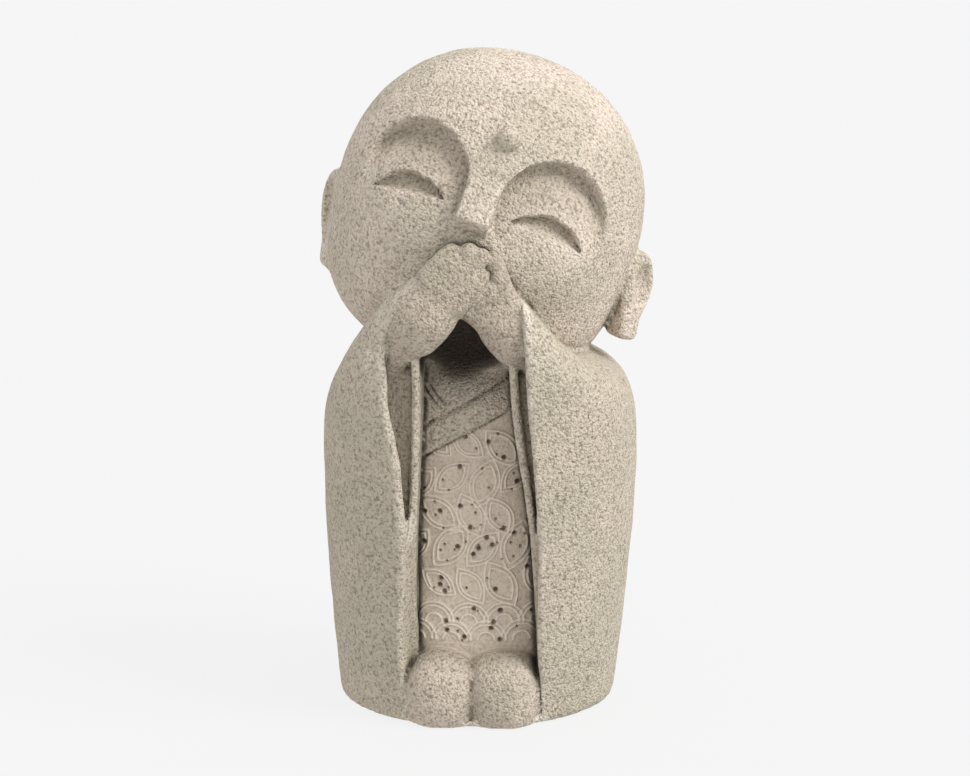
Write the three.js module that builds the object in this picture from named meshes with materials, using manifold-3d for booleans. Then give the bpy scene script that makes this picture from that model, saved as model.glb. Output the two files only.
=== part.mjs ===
// A cast-stone garden figurine: a laughing child monk in a wide-sleeved robe, both hands held over
// the mouth and the big round head tipped to one side. Millimetres, +Z up, the front facing -Y, the
// origin on the ground under the middle of the robe. It was cast in one pour, so it is one solid.

import * as THREE from "three";
import { mergeVertices } from "three/addons/utils/BufferGeometryUtils.js";
import Module from "manifold-3d";

const wasm = await Module();
wasm.setup();

const { degToRad, lerp, smoothstep } = THREE.MathUtils;
const { abs, atan2, cos, hypot, max, min, pow, sign, sin, sqrt, tan, PI } = Math;

// Driving dimensions
const HEIGHT = 400;
const STONE_COLOUR = 0xbdb3a0;

const HEAD = {
  width: 93.5, // half the width
  depth: 91, // half the front-to-back depth
  crown: 96, // from the middle up to the crown
  jaw: 98, // from the middle down to the chin
  top: 96.6, // from the middle to the highest point, once the head is tipped
  crownFullness: 2.13, // exponent of the upper half: 2 is a ball, more is fuller
  jawFullness: 2.8, // the same for the cheeks and jaw
  tilt: degToRad(17.5), // crown leans towards +X
  turn: degToRad(-3.4), // face turns towards -X
  shift: 4.7,
  back: 2,
};
HEAD.centre = new THREE.Vector3(HEAD.shift, HEAD.back, HEIGHT - HEAD.top);

// The face is laid out in eyes: the head is five eyes wide, and it is the same on both sides.
const EYE_WIDTH = (2 * HEAD.width) / 5;
const FACE = {
  eyeOut: EYE_WIDTH * 1.18, // middle of an eye from the middle line
  eyeLine: 11,
  eyeArch: EYE_WIDTH * 0.31, // rise of the lid line
  eyeReach: EYE_WIDTH * 0.65, // half the width of the crescent
  eyeSlant: degToRad(9.5), // the outer corner hangs lower
  eyeOpening: 8, // widest part of the crescent
  eyeDepth: 4.5,
  browRadius: EYE_WIDTH * 0.97,
  browOut: EYE_WIDTH * 1.19,
  browRise: 14,
  browDepth: 18,
  cheekRadius: 62,
  cheekProud: 3,
  cheekOut: 50,
  cheekDrop: -26,
  dotRadius: 7.3,
  dotDepth: 4.5,
  dotHeight: 53,
  noseTop: 31, // where the ridge leaves the forehead
  noseTip: 4.6,
  noseUnder: -4, // where the underside meets the lip
  noseHeight: 10.5,
  noseWidth: 20,
  noseRim: 3,
};

// The head turns its +X ear more to the front, so the two ears are set differently.
const EAR = {
  height: 54,
  depth: 27, // front to back
  thickness: 15,
  rim: 3,
  top: { left: 4, right: -1 }, // from the middle of the head; the figure's left is +X
  sunk: { left: 3, right: 12.5 },
  behind: 4,
  slant: 0.15, // how far the lobes hang towards +X, for each millimetre down
  flare: degToRad(34), // how far the back edge stands out
};

const ROBE = {
  hem: 85, // half width on the ground
  girth: 96, // greatest half width
  girthHeight: 152,
  dome: 72, // rise from the girth to the hidden top of the shoulders
  flarePower: 1.6, // how quickly the skirt widens above the hem
  backDepth: 0.86, // depth of the back as a share of the half width
  frontDepth: 0.965, // the same at the front, on the ground
  lean: 0.0008, // how much that share grows for each millimetre of height
  roundness: 3.5, // exponent of the shoulder curve at the sides
  squareness: 4.7, // added to it at the front, where the cloth falls from the wrists
  planRoundness: 0.0022, // how much squarer than an ellipse the plan grows for each millimetre
  wristLift: 58, // rise of the front edge over the shoulders
  wristSlant: 8, // how much more of it there is towards +X
  wristSpread: [2.4, 5], // exponents: how quickly the rise fades towards -X and +X
  wristTurn: 0.15, // where the one turns into the other
  sway: -2.5, // how far the hem stands aside from under the girth
  baseSlab: 5,
};

// The gap between the two hanging sleeves leans with the head: its middle line runs from foot to chin.
const GAP = {
  footX: 0.5,
  chinX: -11.5,
  chinHeight: 245,
  top: 300,
  hem: [[41.5, 36, 42], [42, 44, 40]], // from the middle to the hem at -X and +X: top, middle, foot
  hemTop: [155, 205], // heights between which the middle's width turns into the top's
  hemFoot: [40, 120], // and the foot's into the middle's
  stepX: 40.5,
  stepDepth: 13, // from the robe's front to the edge of the sleeve's inner layer
  inner: [[20.3, 32.5], [31.3, 39]], // from the middle to the inner layer at -X and +X: top, foot
  innerHeights: [[50, 235], [104, 210]], // heights between which the one turns into the other
};

// The groove between a sleeve's outer and inner layers, open at the wrist and closed lower down
const GROOVE = { layer: 6, rim: 5, reach: 7, depth: 12, top: 226, foot: 118 };

const DRESS = {
  footY: -66,
  collarY: -63,
  collarHeight: 190,
  bow: 1.5, // exponent of the bend from foot to collar
  neckY: -40,
  neckHeight: 235,
  roundness: 85, // radius of the front's curve from side to side
};

// The space under the chin, behind the raised hands
const HOLLOW = { middle: [-9, -70, 234], half: [27, 30, 24] };

const COLLAR = { width: 16, slope: degToRad(28.5), middleHeight: 183.5, proud: 1.6, length: 74 };

const FOOT = {
  halfWidth: 24,
  halfDepth: 30,
  halfHeight: 27,
  middleX: -1.5,
  middleY: -58,
  middleHeight: 18,
  overlap: 6, // of each foot over the middle line
  boxiness: 0.8, // exponent: 1 is a ball, less is a rounded box
};

const HAND = {
  palmPlace: 0.3, // middle of the palm, as a share of the way from wrist to tip
  palmReach: 0.62, // half its length, as a share of the same
  fingerRise: 0.8, // of the knuckles over the palm's middle, in finger radii
};
const HAND_RIGHT = {
  wrist: new THREE.Vector3(-36, -95, 244.5),
  tip: new THREE.Vector3(6, -94, 293),
  palmHalfWidth: 18.5,
  palmHalfDepth: 9.5,
  fingerRadius: 5.8,
  fingerPitch: 8, // at the knuckles
  fingerSpread: 0.9, // pitch at the tips as a share of the pitch at the knuckles
  fingerShort: [9, 2, 0, 9], // how far each finger ends short of the tip
};
const HAND_LEFT = {
  wrist: new THREE.Vector3(26, -91, 237),
  tip: new THREE.Vector3(-3.5, -92, 277),
  palmHalfWidth: 16,
  palmHalfDepth: 9.5,
  fingerRadius: 5.4,
  fingerPitch: 6.3,
  fingerSpread: 1.65,
  fingerShort: [8, 2, 2, -1],
};

// How finely the round shapes are cut: steps around and from pole to pole
const STEPS = {
  head: [32, 20],
  cheek: [26, 16],
  dot: [12, 8],
  palm: [18, 12],
  foot: [18, 12],
  finger: [3, 8],
  robe: { around: 40, wall: 6, dome: 10 },
  gap: { across: 8, sleeve: 12, dress: 16 },
  groove: [2, 8],
  collar: 10,
  face: 10,
  ear: 5,
  leaf: 4,
  fan: 8,
  hole: 6,
  hollow: [20, 12],
};

const LACE = {
  ribWidth: 2.2,
  proud: 1.1,
  sunk: 3,
  holeRadius: 1.9,
  holeDepth: 3,
  low: 48, // foot of the fans
  leafLength: 28,
  leafWidth: 15,
  leafHoles: [-0.18, 0.12], // places along the leaf, as shares of its length
  leafLean: degToRad(34),
  firstRow: 72,
  rowPitch: 21,
  columnPitch: 25,
  rows: 5,
  fanRadii: [13, 7.5],
};

// Turning three.js geometry into solids that can be joined and cut
function solid(geometry) {
  const bare = new THREE.BufferGeometry().setAttribute("position", geometry.getAttribute("position"));
  if (geometry.index) bare.setIndex(geometry.index);
  const merged = mergeVertices(bare, 1e-3);
  const index = merged.index.array;
  const triangles = [];
  for (let i = 0; i < index.length; i += 3) {
    const [a, b, c] = [index[i], index[i + 1], index[i + 2]];
    if (a !== b && b !== c && c !== a) triangles.push(a, b, c);
  }
  return new wasm.Manifold(
    new wasm.Mesh({
      numProp: 3,
      vertProperties: merged.attributes.position.array,
      triVerts: new Uint32Array(triangles),
    }),
  );
}

function deform(geometry, move) {
  const position = geometry.getAttribute("position");
  const point = new THREE.Vector3();
  for (let i = 0; i < position.count; i++) {
    move(point.fromBufferAttribute(position, i));
    position.setXYZ(i, point.x, point.y, point.z);
  }
  return geometry;
}

function geometryOf(manifold) {
  const mesh = manifold.getMesh();
  const positions = new Float32Array(mesh.numVert * 3);
  for (let i = 0; i < mesh.numVert; i++) {
    positions.set(mesh.vertProperties.subarray(i * mesh.numProp, i * mesh.numProp + 3), i * 3);
  }
  const geometry = new THREE.BufferGeometry();
  geometry.setAttribute("position", new THREE.BufferAttribute(positions, 3));
  geometry.setIndex(new THREE.BufferAttribute(mesh.triVerts, 1));
  geometry.computeVertexNormals();
  return geometry;
}

// A ball stretched to three half-axes, its poles on Z
function ellipsoid(halfX, halfY, halfZ, steps) {
  return new THREE.SphereGeometry(1, ...steps).rotateX(PI / 2).scale(halfX, halfY, halfZ);
}

// A matrix with its columns along three directions, standing at a point
function framed(right, back, up, point) {
  return new THREE.Matrix4().makeBasis(right, back, up).setPosition(point);
}

// The head in its own frame: a ball above, fuller below
function headReach(direction) {
  const level = hypot(direction.x / HEAD.width, direction.y / HEAD.depth);
  const upright = abs(direction.z) / (direction.z > 0 ? HEAD.crown : HEAD.jaw);
  const exponent = lerp(HEAD.crownFullness, HEAD.jawFullness, smoothstep(-direction.z, 0, 0.6));
  return pow(pow(level, exponent) + pow(upright, exponent), -1 / exponent);
}

// The point of the head's front that lies at x and near z
function headSurface(x, z) {
  const front = -sqrt(max(HEAD.depth ** 2 - x ** 2 - z ** 2, 1));
  const direction = new THREE.Vector3(x, front, z).normalize();
  return direction.multiplyScalar(headReach(direction));
}

function headBall() {
  const ball = new THREE.SphereGeometry(1, ...STEPS.head).rotateX(PI / 2);
  return deform(ball, (p) => p.normalize().multiplyScalar(headReach(p)));
}

// A prism that stands on the face and points straight out of it, turned about that line
function facePrism(shape, x, z, turn, depth, lift) {
  const foot = headSurface(x, z);
  const out = foot.clone().normalize();
  const right = new THREE.Vector3(0, 0, 1).cross(out).normalize();
  const up = out.clone().cross(right);
  const settings = { depth: depth + lift, bevelEnabled: false, curveSegments: STEPS.face };
  const prism = new THREE.ExtrudeGeometry(shape, settings).rotateZ(turn).translate(0, 0, -depth);
  return prism.applyMatrix4(framed(right, up, out, foot));
}

// A closed eye: the strip between two bowed lines that meet in its corners
function crescent() {
  const corner = -FACE.eyeArch / 2;
  const pull = FACE.eyeArch * 1.5;
  const shape = new THREE.Shape().moveTo(-FACE.eyeReach, corner);
  shape.quadraticCurveTo(0, pull, FACE.eyeReach, corner);
  shape.quadraticCurveTo(0, pull - 2 * FACE.eyeOpening, -FACE.eyeReach, corner);
  return shape;
}

// A wedge that runs out of the forehead and ends in a slanted underside
function nose() {
  const rim = FACE.noseRim;
  const top = headSurface(0, FACE.noseTop);
  const tip = headSurface(0, FACE.noseTip);
  const foot = headSurface(0, FACE.noseUnder);
  const profile = new THREE.Shape().moveTo(0, foot.z);
  profile.lineTo(-foot.y, foot.z);
  profile.lineTo(FACE.noseHeight - tip.y, tip.z);
  profile.lineTo(-top.y, top.z);
  profile.lineTo(0, top.z);
  profile.closePath();
  const depth = FACE.noseWidth - 2 * rim;
  const bevel = { bevelThickness: rim, bevelSize: rim / 2, bevelOffset: -rim / 2, bevelSegments: 1 };
  const wedge = new THREE.ExtrudeGeometry(profile, { depth, ...bevel }).translate(0, 0, -depth / 2);
  const ahead = new THREE.Vector3(0, -1, 0);
  const up = new THREE.Vector3(0, 0, 1);
  return solid(wedge.applyMatrix4(new THREE.Matrix4().makeBasis(ahead, up, ahead.clone().cross(up))));
}

// A plate with a rounded rim and a hollow shell, standing out from the side of the head
function ear(side) {
  const { depth, height, rim, thickness } = EAR;
  const outline = new THREE.Shape().moveTo(-depth * 0.45, -height);
  outline.lineTo(depth * 0.16, -height);
  outline.quadraticCurveTo(depth * 0.3, -height * 0.62, depth * 0.5, -height * 0.36);
  outline.quadraticCurveTo(depth * 0.66, 0, 0, 0);
  outline.quadraticCurveTo(-depth * 0.5, -height * 0.02, -depth * 0.5, -height * 0.35);
  outline.closePath();
  const plate = new THREE.ExtrudeGeometry(outline, {
    depth: thickness - 2 * rim,
    bevelThickness: rim,
    bevelSize: rim,
    bevelOffset: -rim,
    bevelSegments: 1,
    curveSegments: STEPS.ear,
  });
  const shell = new THREE.Shape().absellipse(depth * 0.06, -height * 0.34, depth * 0.26, height * 0.2);
  const settings = { depth: thickness, bevelEnabled: false, curveSegments: STEPS.ear };
  const hollow = new THREE.ExtrudeGeometry(shell, settings);
  hollow.translate(0, 0, thickness - 2 * rim);
  const name = side > 0 ? "left" : "right";
  const hang = side * EAR.slant;
  const footX = HEAD.width - EAR.sunk[name] - (hang * height) / 2;
  const back = new THREE.Vector3(0, 1, 0);
  const up = new THREE.Vector3(-hang, 0, 1).normalize();
  const place = new THREE.Matrix4().makeTranslation(footX, EAR.behind, EAR.top[name]);
  place.multiply(new THREE.Matrix4().makeRotationZ(-EAR.flare));
  place.multiply(new THREE.Matrix4().makeBasis(back, up, back.clone().cross(up)));
  const shape = geometryOf(solid(plate).subtract(solid(hollow))).applyMatrix4(place);
  return side > 0 ? solid(shape) : mirrored(shape);
}

// The same shape on the other side of the middle plane
function mirrored(geometry) {
  const copy = geometry.clone().scale(-1, 1, 1);
  const index = copy.index.array;
  for (let i = 0; i < index.length; i += 3) [index[i], index[i + 1]] = [index[i + 1], index[i]];
  return solid(copy);
}

// The head: brow hollows over full cheeks, closed eyes, ears, a dot on the forehead and the nose
function head() {
  let carved = solid(headBall());
  const brow = new THREE.Shape().absarc(0, 0, FACE.browRadius, 0, 2 * PI);
  const clear = 20;
  for (const side of [-1, 1]) {
    const hollow = facePrism(brow, side * FACE.browOut, FACE.browRise, 0, FACE.browDepth, clear);
    carved = carved.subtract(solid(hollow));
    const touch = headSurface(side * FACE.cheekOut, FACE.cheekDrop);
    const middle = touch.clone().setLength(touch.length() + FACE.cheekProud - FACE.cheekRadius);
    const cheek = ellipsoid(FACE.cheekRadius, FACE.cheekRadius, FACE.cheekRadius, STEPS.cheek);
    carved = carved.add(solid(cheek.translate(middle.x, middle.y, middle.z)));
  }
  for (const side of [-1, 1]) {
    const slant = -side * FACE.eyeSlant;
    const lid = facePrism(crescent(), side * FACE.eyeOut, FACE.eyeLine, slant, FACE.eyeDepth, clear);
    carved = carved.subtract(solid(lid)).add(ear(side));
  }
  const dotPlace = headSurface(0, FACE.dotHeight);
  const dot = ellipsoid(FACE.dotRadius, FACE.dotDepth, FACE.dotRadius, STEPS.dot);
  carved = carved.add(solid(dot.translate(dotPlace.x, dotPlace.y, dotPlace.z))).add(nose());
  const place = new THREE.Matrix4().makeRotationFromEuler(new THREE.Euler(0, HEAD.tilt, HEAD.turn, "ZYX"));
  place.setPosition(HEAD.centre);
  return solid(geometryOf(carved).applyMatrix4(place));
}

// The robe's skirt as a share of its girth
function flare(z) {
  const below = max(0, 1 - z / ROBE.girthHeight);
  return 1 - (1 - ROBE.hem / ROBE.girth) * pow(below, ROBE.flarePower);
}

// How far the robe's middle line stands aside
const sway = (z) => ROBE.sway * max(0, 1 - z / ROBE.girthHeight);
const planExponent = (z) => 2 + ROBE.planRoundness * z;
const frontDepth = (z) => ROBE.frontDepth + ROBE.lean * z;

// Height of the shoulders over the girth: the front is lifted by the raised wrists
function shoulderRise(angle) {
  const off = angle - atan2(GAP.chinX, ROBE.girth);
  const lift = ROBE.wristLift + ROBE.wristSlant * sin(off);
  const spread = lerp(...ROBE.wristSpread, smoothstep(sin(off), -ROBE.wristTurn, ROBE.wristTurn));
  return ROBE.dome + lift * pow(max(0, cos(off)), spread);
}

// A point of the robe: level 0 to 1 is the wall from the ground to the girth, 1 to 2 the shoulders
function robePoint(level, angle) {
  const turn = max(0, level - 1) * (PI / 2);
  const power = 2 / (ROBE.roundness + ROBE.squareness * max(0, cos(angle)) ** 2);
  const z = min(level, 1) * ROBE.girthHeight + shoulderRise(angle) * pow(sin(turn), power);
  const halfWidth = ROBE.girth * flare(z) * pow(max(0, cos(turn)), power);
  const depth = cos(angle) > 0 ? frontDepth(z) : ROBE.backDepth;
  const plan = 2 / planExponent(z);
  const x = sway(z) + halfWidth * sign(sin(angle)) * pow(abs(sin(angle)), plan);
  const y = -halfWidth * depth * sign(cos(angle)) * pow(abs(cos(angle)), plan);
  return new THREE.Vector3(x, y, z);
}

function robe() {
  const { around, wall, dome } = STEPS.robe;
  const profile = [new THREE.Vector2(0, 0)];
  for (let i = 0; i <= wall; i++) profile.push(new THREE.Vector2(1, i / wall));
  for (let i = 1; i < dome; i++) profile.push(new THREE.Vector2(1, 1 + i / dome));
  profile.push(new THREE.Vector2(0, 2));
  const lathe = new THREE.LatheGeometry(profile, around);
  const shaped = deform(lathe, (p) => {
    const share = hypot(p.x, p.z);
    const on = robePoint(p.y, atan2(p.x, p.z));
    p.set(lerp(sway(on.z), on.x, share), on.y * share, on.z);
  });
  return solid(shaped);
}

const gapMiddle = (z) => lerp(GAP.footX, GAP.chinX, z / GAP.chinHeight);

// From the middle line to a sleeve's hem: side 0 is at -X and 1 at +X
function hemWidth(side, z) {
  const [top, middle, foot] = GAP.hem[side];
  const lower = lerp(foot, middle, smoothstep(z, ...GAP.hemFoot));
  return lerp(lower, top, smoothstep(z, ...GAP.hemTop));
}

// From the middle line to the edge of its inner layer
function innerWidth(side, z) {
  const [top, foot] = GAP.inner[side];
  return lerp(foot, top, smoothstep(z, ...GAP.innerHeights[side]));
}

// Depth of the robe's front at x, without the shoulders' rounding
function frontY(x, z) {
  const halfWidth = ROBE.girth * flare(z);
  const plan = planExponent(z);
  return -halfWidth * frontDepth(z) * pow(1 - pow(abs(x - sway(z)) / halfWidth, plan), 1 / plan);
}

// Depth of the sleeve's inner layer
const stepY = (z) => frontY(GAP.stepX, z) + GAP.stepDepth;

// Depth of the dress that shows between the sleeves
function dressY(x, z) {
  const chest = DRESS.collarHeight;
  const low = lerp(DRESS.footY, DRESS.collarY, pow(min(z, chest) / chest, DRESS.bow));
  const high = lerp(0, DRESS.neckY - DRESS.collarY, smoothstep(z, chest, DRESS.neckHeight));
  return low + high + (x - gapMiddle(z)) ** 2 / (2 * DRESS.roundness);
}

// A cutter between two heights: at each height it spans the given widths, from in front to a back line
function gapCutter(width, backY, steps) {
  const clear = -HEIGHT / 2;
  const box = new THREE.BoxGeometry(2, 1, 1, STEPS.gap.across, 1, steps);
  return solid(
    deform(box, (p) => {
      const z = lerp(ROBE.baseSlab, GAP.top, p.z + 0.5);
      const x = gapMiddle(z) + p.x * width(p.x < 0 ? 0 : 1, z);
      p.set(x, p.y < 0 ? clear : backY(x, z), z);
    }),
  );
}

function sleeveGroove(side) {
  const outwards = side ? 1 : -1;
  const slot = new THREE.BoxGeometry(1, 1, 1, STEPS.groove[0], 1, STEPS.groove[1]);
  return solid(
    deform(slot, (p) => {
      const share = p.z + 0.5;
      const z = lerp(GROOVE.foot, GROOVE.top, share);
      const inner = innerWidth(side, z) + GROOVE.rim;
      const outer = hemWidth(side, z) + GROOVE.reach * share;
      const x = gapMiddle(z) + outwards * lerp(inner, outer, p.x * outwards + 0.5);
      p.set(x, p.y < 0 ? frontY(x, z) + GROOVE.layer : stepY(z) + GROOVE.depth * sqrt(share), z);
    }),
  );
}

function hollowRobe() {
  const nearer = (x, z) => min(stepY(z), dressY(x, z));
  const sleeveGap = gapCutter(hemWidth, nearer, STEPS.gap.sleeve);
  const dressRecess = gapCutter(innerWidth, dressY, STEPS.gap.dress);
  const cutters = [sleeveGap, dressRecess, sleeveGroove(0), sleeveGroove(1)];
  return cutters.reduce((cloth, cutter) => cloth.subtract(cutter), robe());
}

// Where a point of the dress front lies, and which way it faces
function dressFrame(x, z, turn) {
  const step = 1;
  const point = new THREE.Vector3(x, dressY(x, z), z);
  const right = new THREE.Vector3(step, dressY(x + step, z) - point.y, 0).normalize();
  const up = new THREE.Vector3(0, dressY(x, z + step) - point.y, step).normalize();
  const out = right.clone().cross(up).normalize();
  const level = up.clone().cross(out).normalize();
  return framed(level, up, out, point).multiply(new THREE.Matrix4().makeRotationZ(turn));
}

// A flat shape of the lace, standing a little proud of the dress
function raised(shape, x, z, turn, segments) {
  const depth = LACE.proud + LACE.sunk;
  const plate = new THREE.ExtrudeGeometry(shape, { depth, bevelEnabled: false, curveSegments: segments });
  return solid(plate.translate(0, 0, -LACE.sunk).applyMatrix4(dressFrame(x, z, turn)));
}

// The slanting band where one front of the dress folds over the other
function collarBand() {
  const strip = new THREE.BoxGeometry(COLLAR.length, COLLAR.width, 1, STEPS.collar, 1, 1);
  return solid(
    deform(strip, (p) => {
      const x = gapMiddle(COLLAR.middleHeight) + p.x * cos(COLLAR.slope) - p.y * sin(COLLAR.slope);
      const z = COLLAR.middleHeight + p.x * sin(COLLAR.slope) + p.y * cos(COLLAR.slope);
      p.set(x, dressY(x, z) + (p.z > 0 ? -COLLAR.proud : LACE.sunk), z);
    }),
  );
}

// One leaf of the lace: a pointed ring of two bowed sides
function leafShape(length, width) {
  const outline = (target, half, bow) => {
    target.moveTo(0, -half);
    target.quadraticCurveTo(bow, 0, 0, half);
    target.quadraticCurveTo(-bow, 0, 0, -half);
    return target;
  };
  const leaf = outline(new THREE.Shape(), length / 2, width);
  leaf.holes.push(outline(new THREE.Path(), length / 2 - 2 * LACE.ribWidth, width - 2 * LACE.ribWidth));
  return leaf;
}

// One rib of a fan: a half ring
function fanShape(radius) {
  const fan = new THREE.Shape().absarc(0, 0, radius, 0, PI, false);
  fan.absarc(0, 0, radius - LACE.ribWidth, PI, 0, true);
  fan.closePath();
  return fan;
}

function laceHole(x, z) {
  const hole = new THREE.ConeGeometry(LACE.holeRadius, 2 * LACE.holeDepth, STEPS.hole).rotateX(-PI / 2);
  return solid(hole.applyMatrix4(dressFrame(x, z, 0)));
}

// Height of the collar's lower edge
function collarFoot(x) {
  const along = (x - gapMiddle(COLLAR.middleHeight)) * tan(COLLAR.slope);
  return COLLAR.middleHeight + along - COLLAR.width / 2 / cos(COLLAR.slope);
}

function laceLeaf(dress, x, z, turn) {
  let carved = dress.add(raised(leafShape(LACE.leafLength, LACE.leafWidth), x, z, turn, STEPS.leaf));
  for (const share of LACE.leafHoles) {
    const along = share * LACE.leafLength;
    carved = carved.subtract(laceHole(x - along * sin(turn), z + along * cos(turn)));
  }
  return carved;
}

// Leaves in staggered rows that lean to and fro, over one row of fans at the foot
function laced(dress) {
  let carved = dress;
  for (let row = 0; row < LACE.rows; row++) {
    const count = row % 2 ? 2 : 3;
    const z = LACE.firstRow + row * LACE.rowPitch;
    for (let i = 0; i < count; i++) {
      const x = gapMiddle(z) + (i - (count - 1) / 2) * LACE.columnPitch;
      const turn = LACE.leafLean * ((i + row) % 2 ? 1 : -1);
      const aside = x - gapMiddle(z);
      const inReach = abs(aside) + LACE.leafWidth / 2 < innerWidth(aside < 0 ? 0 : 1, z);
      const underCollar = z + LACE.leafLength / 2 < collarFoot(x - LACE.leafWidth / 2);
      if (inReach && underCollar) carved = laceLeaf(carved, x, z, turn);
    }
  }
  for (const side of [-1, 0, 1]) {
    const x = gapMiddle(LACE.low) + side * LACE.columnPitch;
    for (const radius of LACE.fanRadii) {
      carved = carved.add(raised(fanShape(radius), x, LACE.low, 0, STEPS.fan));
    }
    carved = carved.subtract(laceHole(x, LACE.low + LACE.holeRadius * 2));
  }
  return carved;
}

// A share of a half-axis moved outwards, which turns a ball into a rounded box
const fuller = (share) => sign(share) * pow(abs(share), FOOT.boxiness);

function foot(side) {
  const lump = ellipsoid(1, 1, 1, STEPS.foot);
  deform(lump, (p) => {
    const [x, y, z] = p.toArray().map(fuller);
    p.set(x * FOOT.halfWidth, y * FOOT.halfDepth, z * FOOT.halfHeight);
  });
  const x = FOOT.middleX + side * (FOOT.halfWidth - FOOT.overlap);
  return solid(lump.translate(x, FOOT.middleY, FOOT.middleHeight));
}

// A finger: a round rod between two points
function finger(start, end, radius) {
  const length = start.distanceTo(end);
  const rod = new THREE.CapsuleGeometry(radius, length, ...STEPS.finger).rotateX(PI / 2);
  const ahead = end.clone().sub(start).normalize();
  rod.applyQuaternion(new THREE.Quaternion().setFromUnitVectors(new THREE.Vector3(0, 0, 1), ahead));
  const middle = start.clone().lerp(end, 0.5);
  return solid(rod.translate(middle.x, middle.y, middle.z));
}

// A flat hand with its back to the front: a long palm that comes out of the sleeve, and four fingers
function hand(size) {
  const along = size.tip.clone().sub(size.wrist).normalize();
  const out = new THREE.Vector3(0, -1, 0).addScaledVector(along, along.y).normalize();
  const side = along.clone().cross(out).normalize();
  const length = size.wrist.distanceTo(size.tip);
  const middle = size.wrist.clone().lerp(size.tip, HAND.palmPlace);
  const palm = ellipsoid(size.palmHalfWidth, size.palmHalfDepth, length * HAND.palmReach, STEPS.palm);
  let whole = solid(palm.applyMatrix4(framed(side, out.clone().negate(), along, middle)));
  size.fingerShort.forEach((short, i) => {
    const aside = (i - (size.fingerShort.length - 1) / 2) * size.fingerPitch;
    const start = middle.clone().addScaledVector(side, aside);
    start.addScaledVector(out, size.fingerRadius * HAND.fingerRise);
    const end = size.tip.clone().addScaledVector(along, -short - size.fingerRadius);
    end.addScaledVector(side, aside * size.fingerSpread);
    whole = whole.add(finger(start, end, size.fingerRadius));
  });
  return whole;
}

function figurine() {
  const dressed = laced(hollowRobe().add(collarBand()));
  const hollow = solid(ellipsoid(...HOLLOW.half, STEPS.hollow).translate(...HOLLOW.middle));
  const body = dressed.add(head()).subtract(hollow);
  const pieces = [hand(HAND_RIGHT), hand(HAND_LEFT), foot(-1), foot(1)];
  const whole = pieces.reduce((stone, piece) => stone.add(piece), body);
  const ground = solid(new THREE.BoxGeometry(HEIGHT, HEIGHT, HEIGHT).translate(0, 0, -HEIGHT / 2));
  return whole.subtract(ground);
}

const stone = new THREE.MeshStandardMaterial({ color: STONE_COLOUR, roughness: 0.95, metalness: 0 });
const figure = new THREE.Mesh(geometryOf(figurine()), stone);
figure.name = "figurine";

const group = new THREE.Group();
group.add(figure);

export default group;
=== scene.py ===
"""Dresses a cast-stone garden figurine: a laughing child monk with both hands over the mouth.

The figure was cast in one pour, so it is one closed mesh. Its form is written part by part as a
distance in millimetres, less than zero in the stone, in the CAD model's frame: +Z up, the front
towards -Y. The surface where that distance is zero becomes a mesh, finer where the carving is fine,
and then gets the relief of the lace dress and the finish of the stone.
"""

import logging
import math
from collections.abc import Callable
from dataclasses import dataclass
from enum import Enum

import bmesh
import bpy
import numpy as np
import openvdb
from mathutils import Matrix, Vector


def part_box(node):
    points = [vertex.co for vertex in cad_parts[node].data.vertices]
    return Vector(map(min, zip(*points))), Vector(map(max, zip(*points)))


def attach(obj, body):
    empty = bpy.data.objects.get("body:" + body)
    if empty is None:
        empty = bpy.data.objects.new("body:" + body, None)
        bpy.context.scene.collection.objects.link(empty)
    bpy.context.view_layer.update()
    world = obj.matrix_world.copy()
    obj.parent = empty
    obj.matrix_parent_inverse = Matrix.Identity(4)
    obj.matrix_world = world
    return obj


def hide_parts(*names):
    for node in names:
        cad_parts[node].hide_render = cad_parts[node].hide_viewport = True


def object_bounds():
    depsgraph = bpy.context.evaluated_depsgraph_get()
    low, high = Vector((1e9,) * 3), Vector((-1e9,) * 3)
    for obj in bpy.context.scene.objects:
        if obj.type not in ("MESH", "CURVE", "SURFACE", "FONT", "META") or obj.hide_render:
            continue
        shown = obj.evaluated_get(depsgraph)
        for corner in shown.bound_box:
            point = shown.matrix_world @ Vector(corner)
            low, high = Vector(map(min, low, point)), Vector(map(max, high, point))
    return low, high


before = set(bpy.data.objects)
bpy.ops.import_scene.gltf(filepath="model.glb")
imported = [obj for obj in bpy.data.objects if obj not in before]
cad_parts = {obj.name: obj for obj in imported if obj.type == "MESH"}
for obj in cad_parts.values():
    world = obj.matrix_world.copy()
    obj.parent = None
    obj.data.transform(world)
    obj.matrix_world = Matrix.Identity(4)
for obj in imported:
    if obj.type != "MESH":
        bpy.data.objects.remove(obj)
CAD_LOW, CAD_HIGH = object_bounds()

LOG = logging.getLogger("figurine")
NODE = "figurine"
BODY = "root"
MM = 0.001
TINY = 1e-6
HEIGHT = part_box(NODE)[1].z / MM
SAMPLE_STEP = 0.25  # how far from a point, in millimetres, its slope is sampled
LEAST_SLOPE = 0.1  # least squared slope, so that no point is thrown far where the slope is flat

Points = np.ndarray  # rows of x, y, z in millimetres
Values = np.ndarray  # one number for each point
Distance = Callable[[Points], Values]
Socket = bpy.types.NodeSocket


class Mask(Enum):
    """What is stored for each point of the mesh, for the relief and the finish."""

    DRESS = "dress"
    LACE = "lace"
    CLOTH = "cloth"
    # dirt on the hands and feet, and painted shade in the brow hollows and the eyes
    SOIL = "soil"
    # painted shade where the stone closes in: crevices, the hollow under the chin and the dress's cut lines
    CREVICE = "crevice"
    EDGE = "edge"
    RIB = "rib"
    HOLE = "hole"


class Detail(Enum):
    """How finely the mesh is cut: how many times a cell is halved."""

    PLAIN = 0
    CARVED = 1
    FINE = 2
    LACE = 3


def lerp(low: Values | float, high: Values | float, share: Values | float) -> Values | float:
    """The value that lies a share of the way from low to high."""
    return low + (high - low) * share


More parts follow.
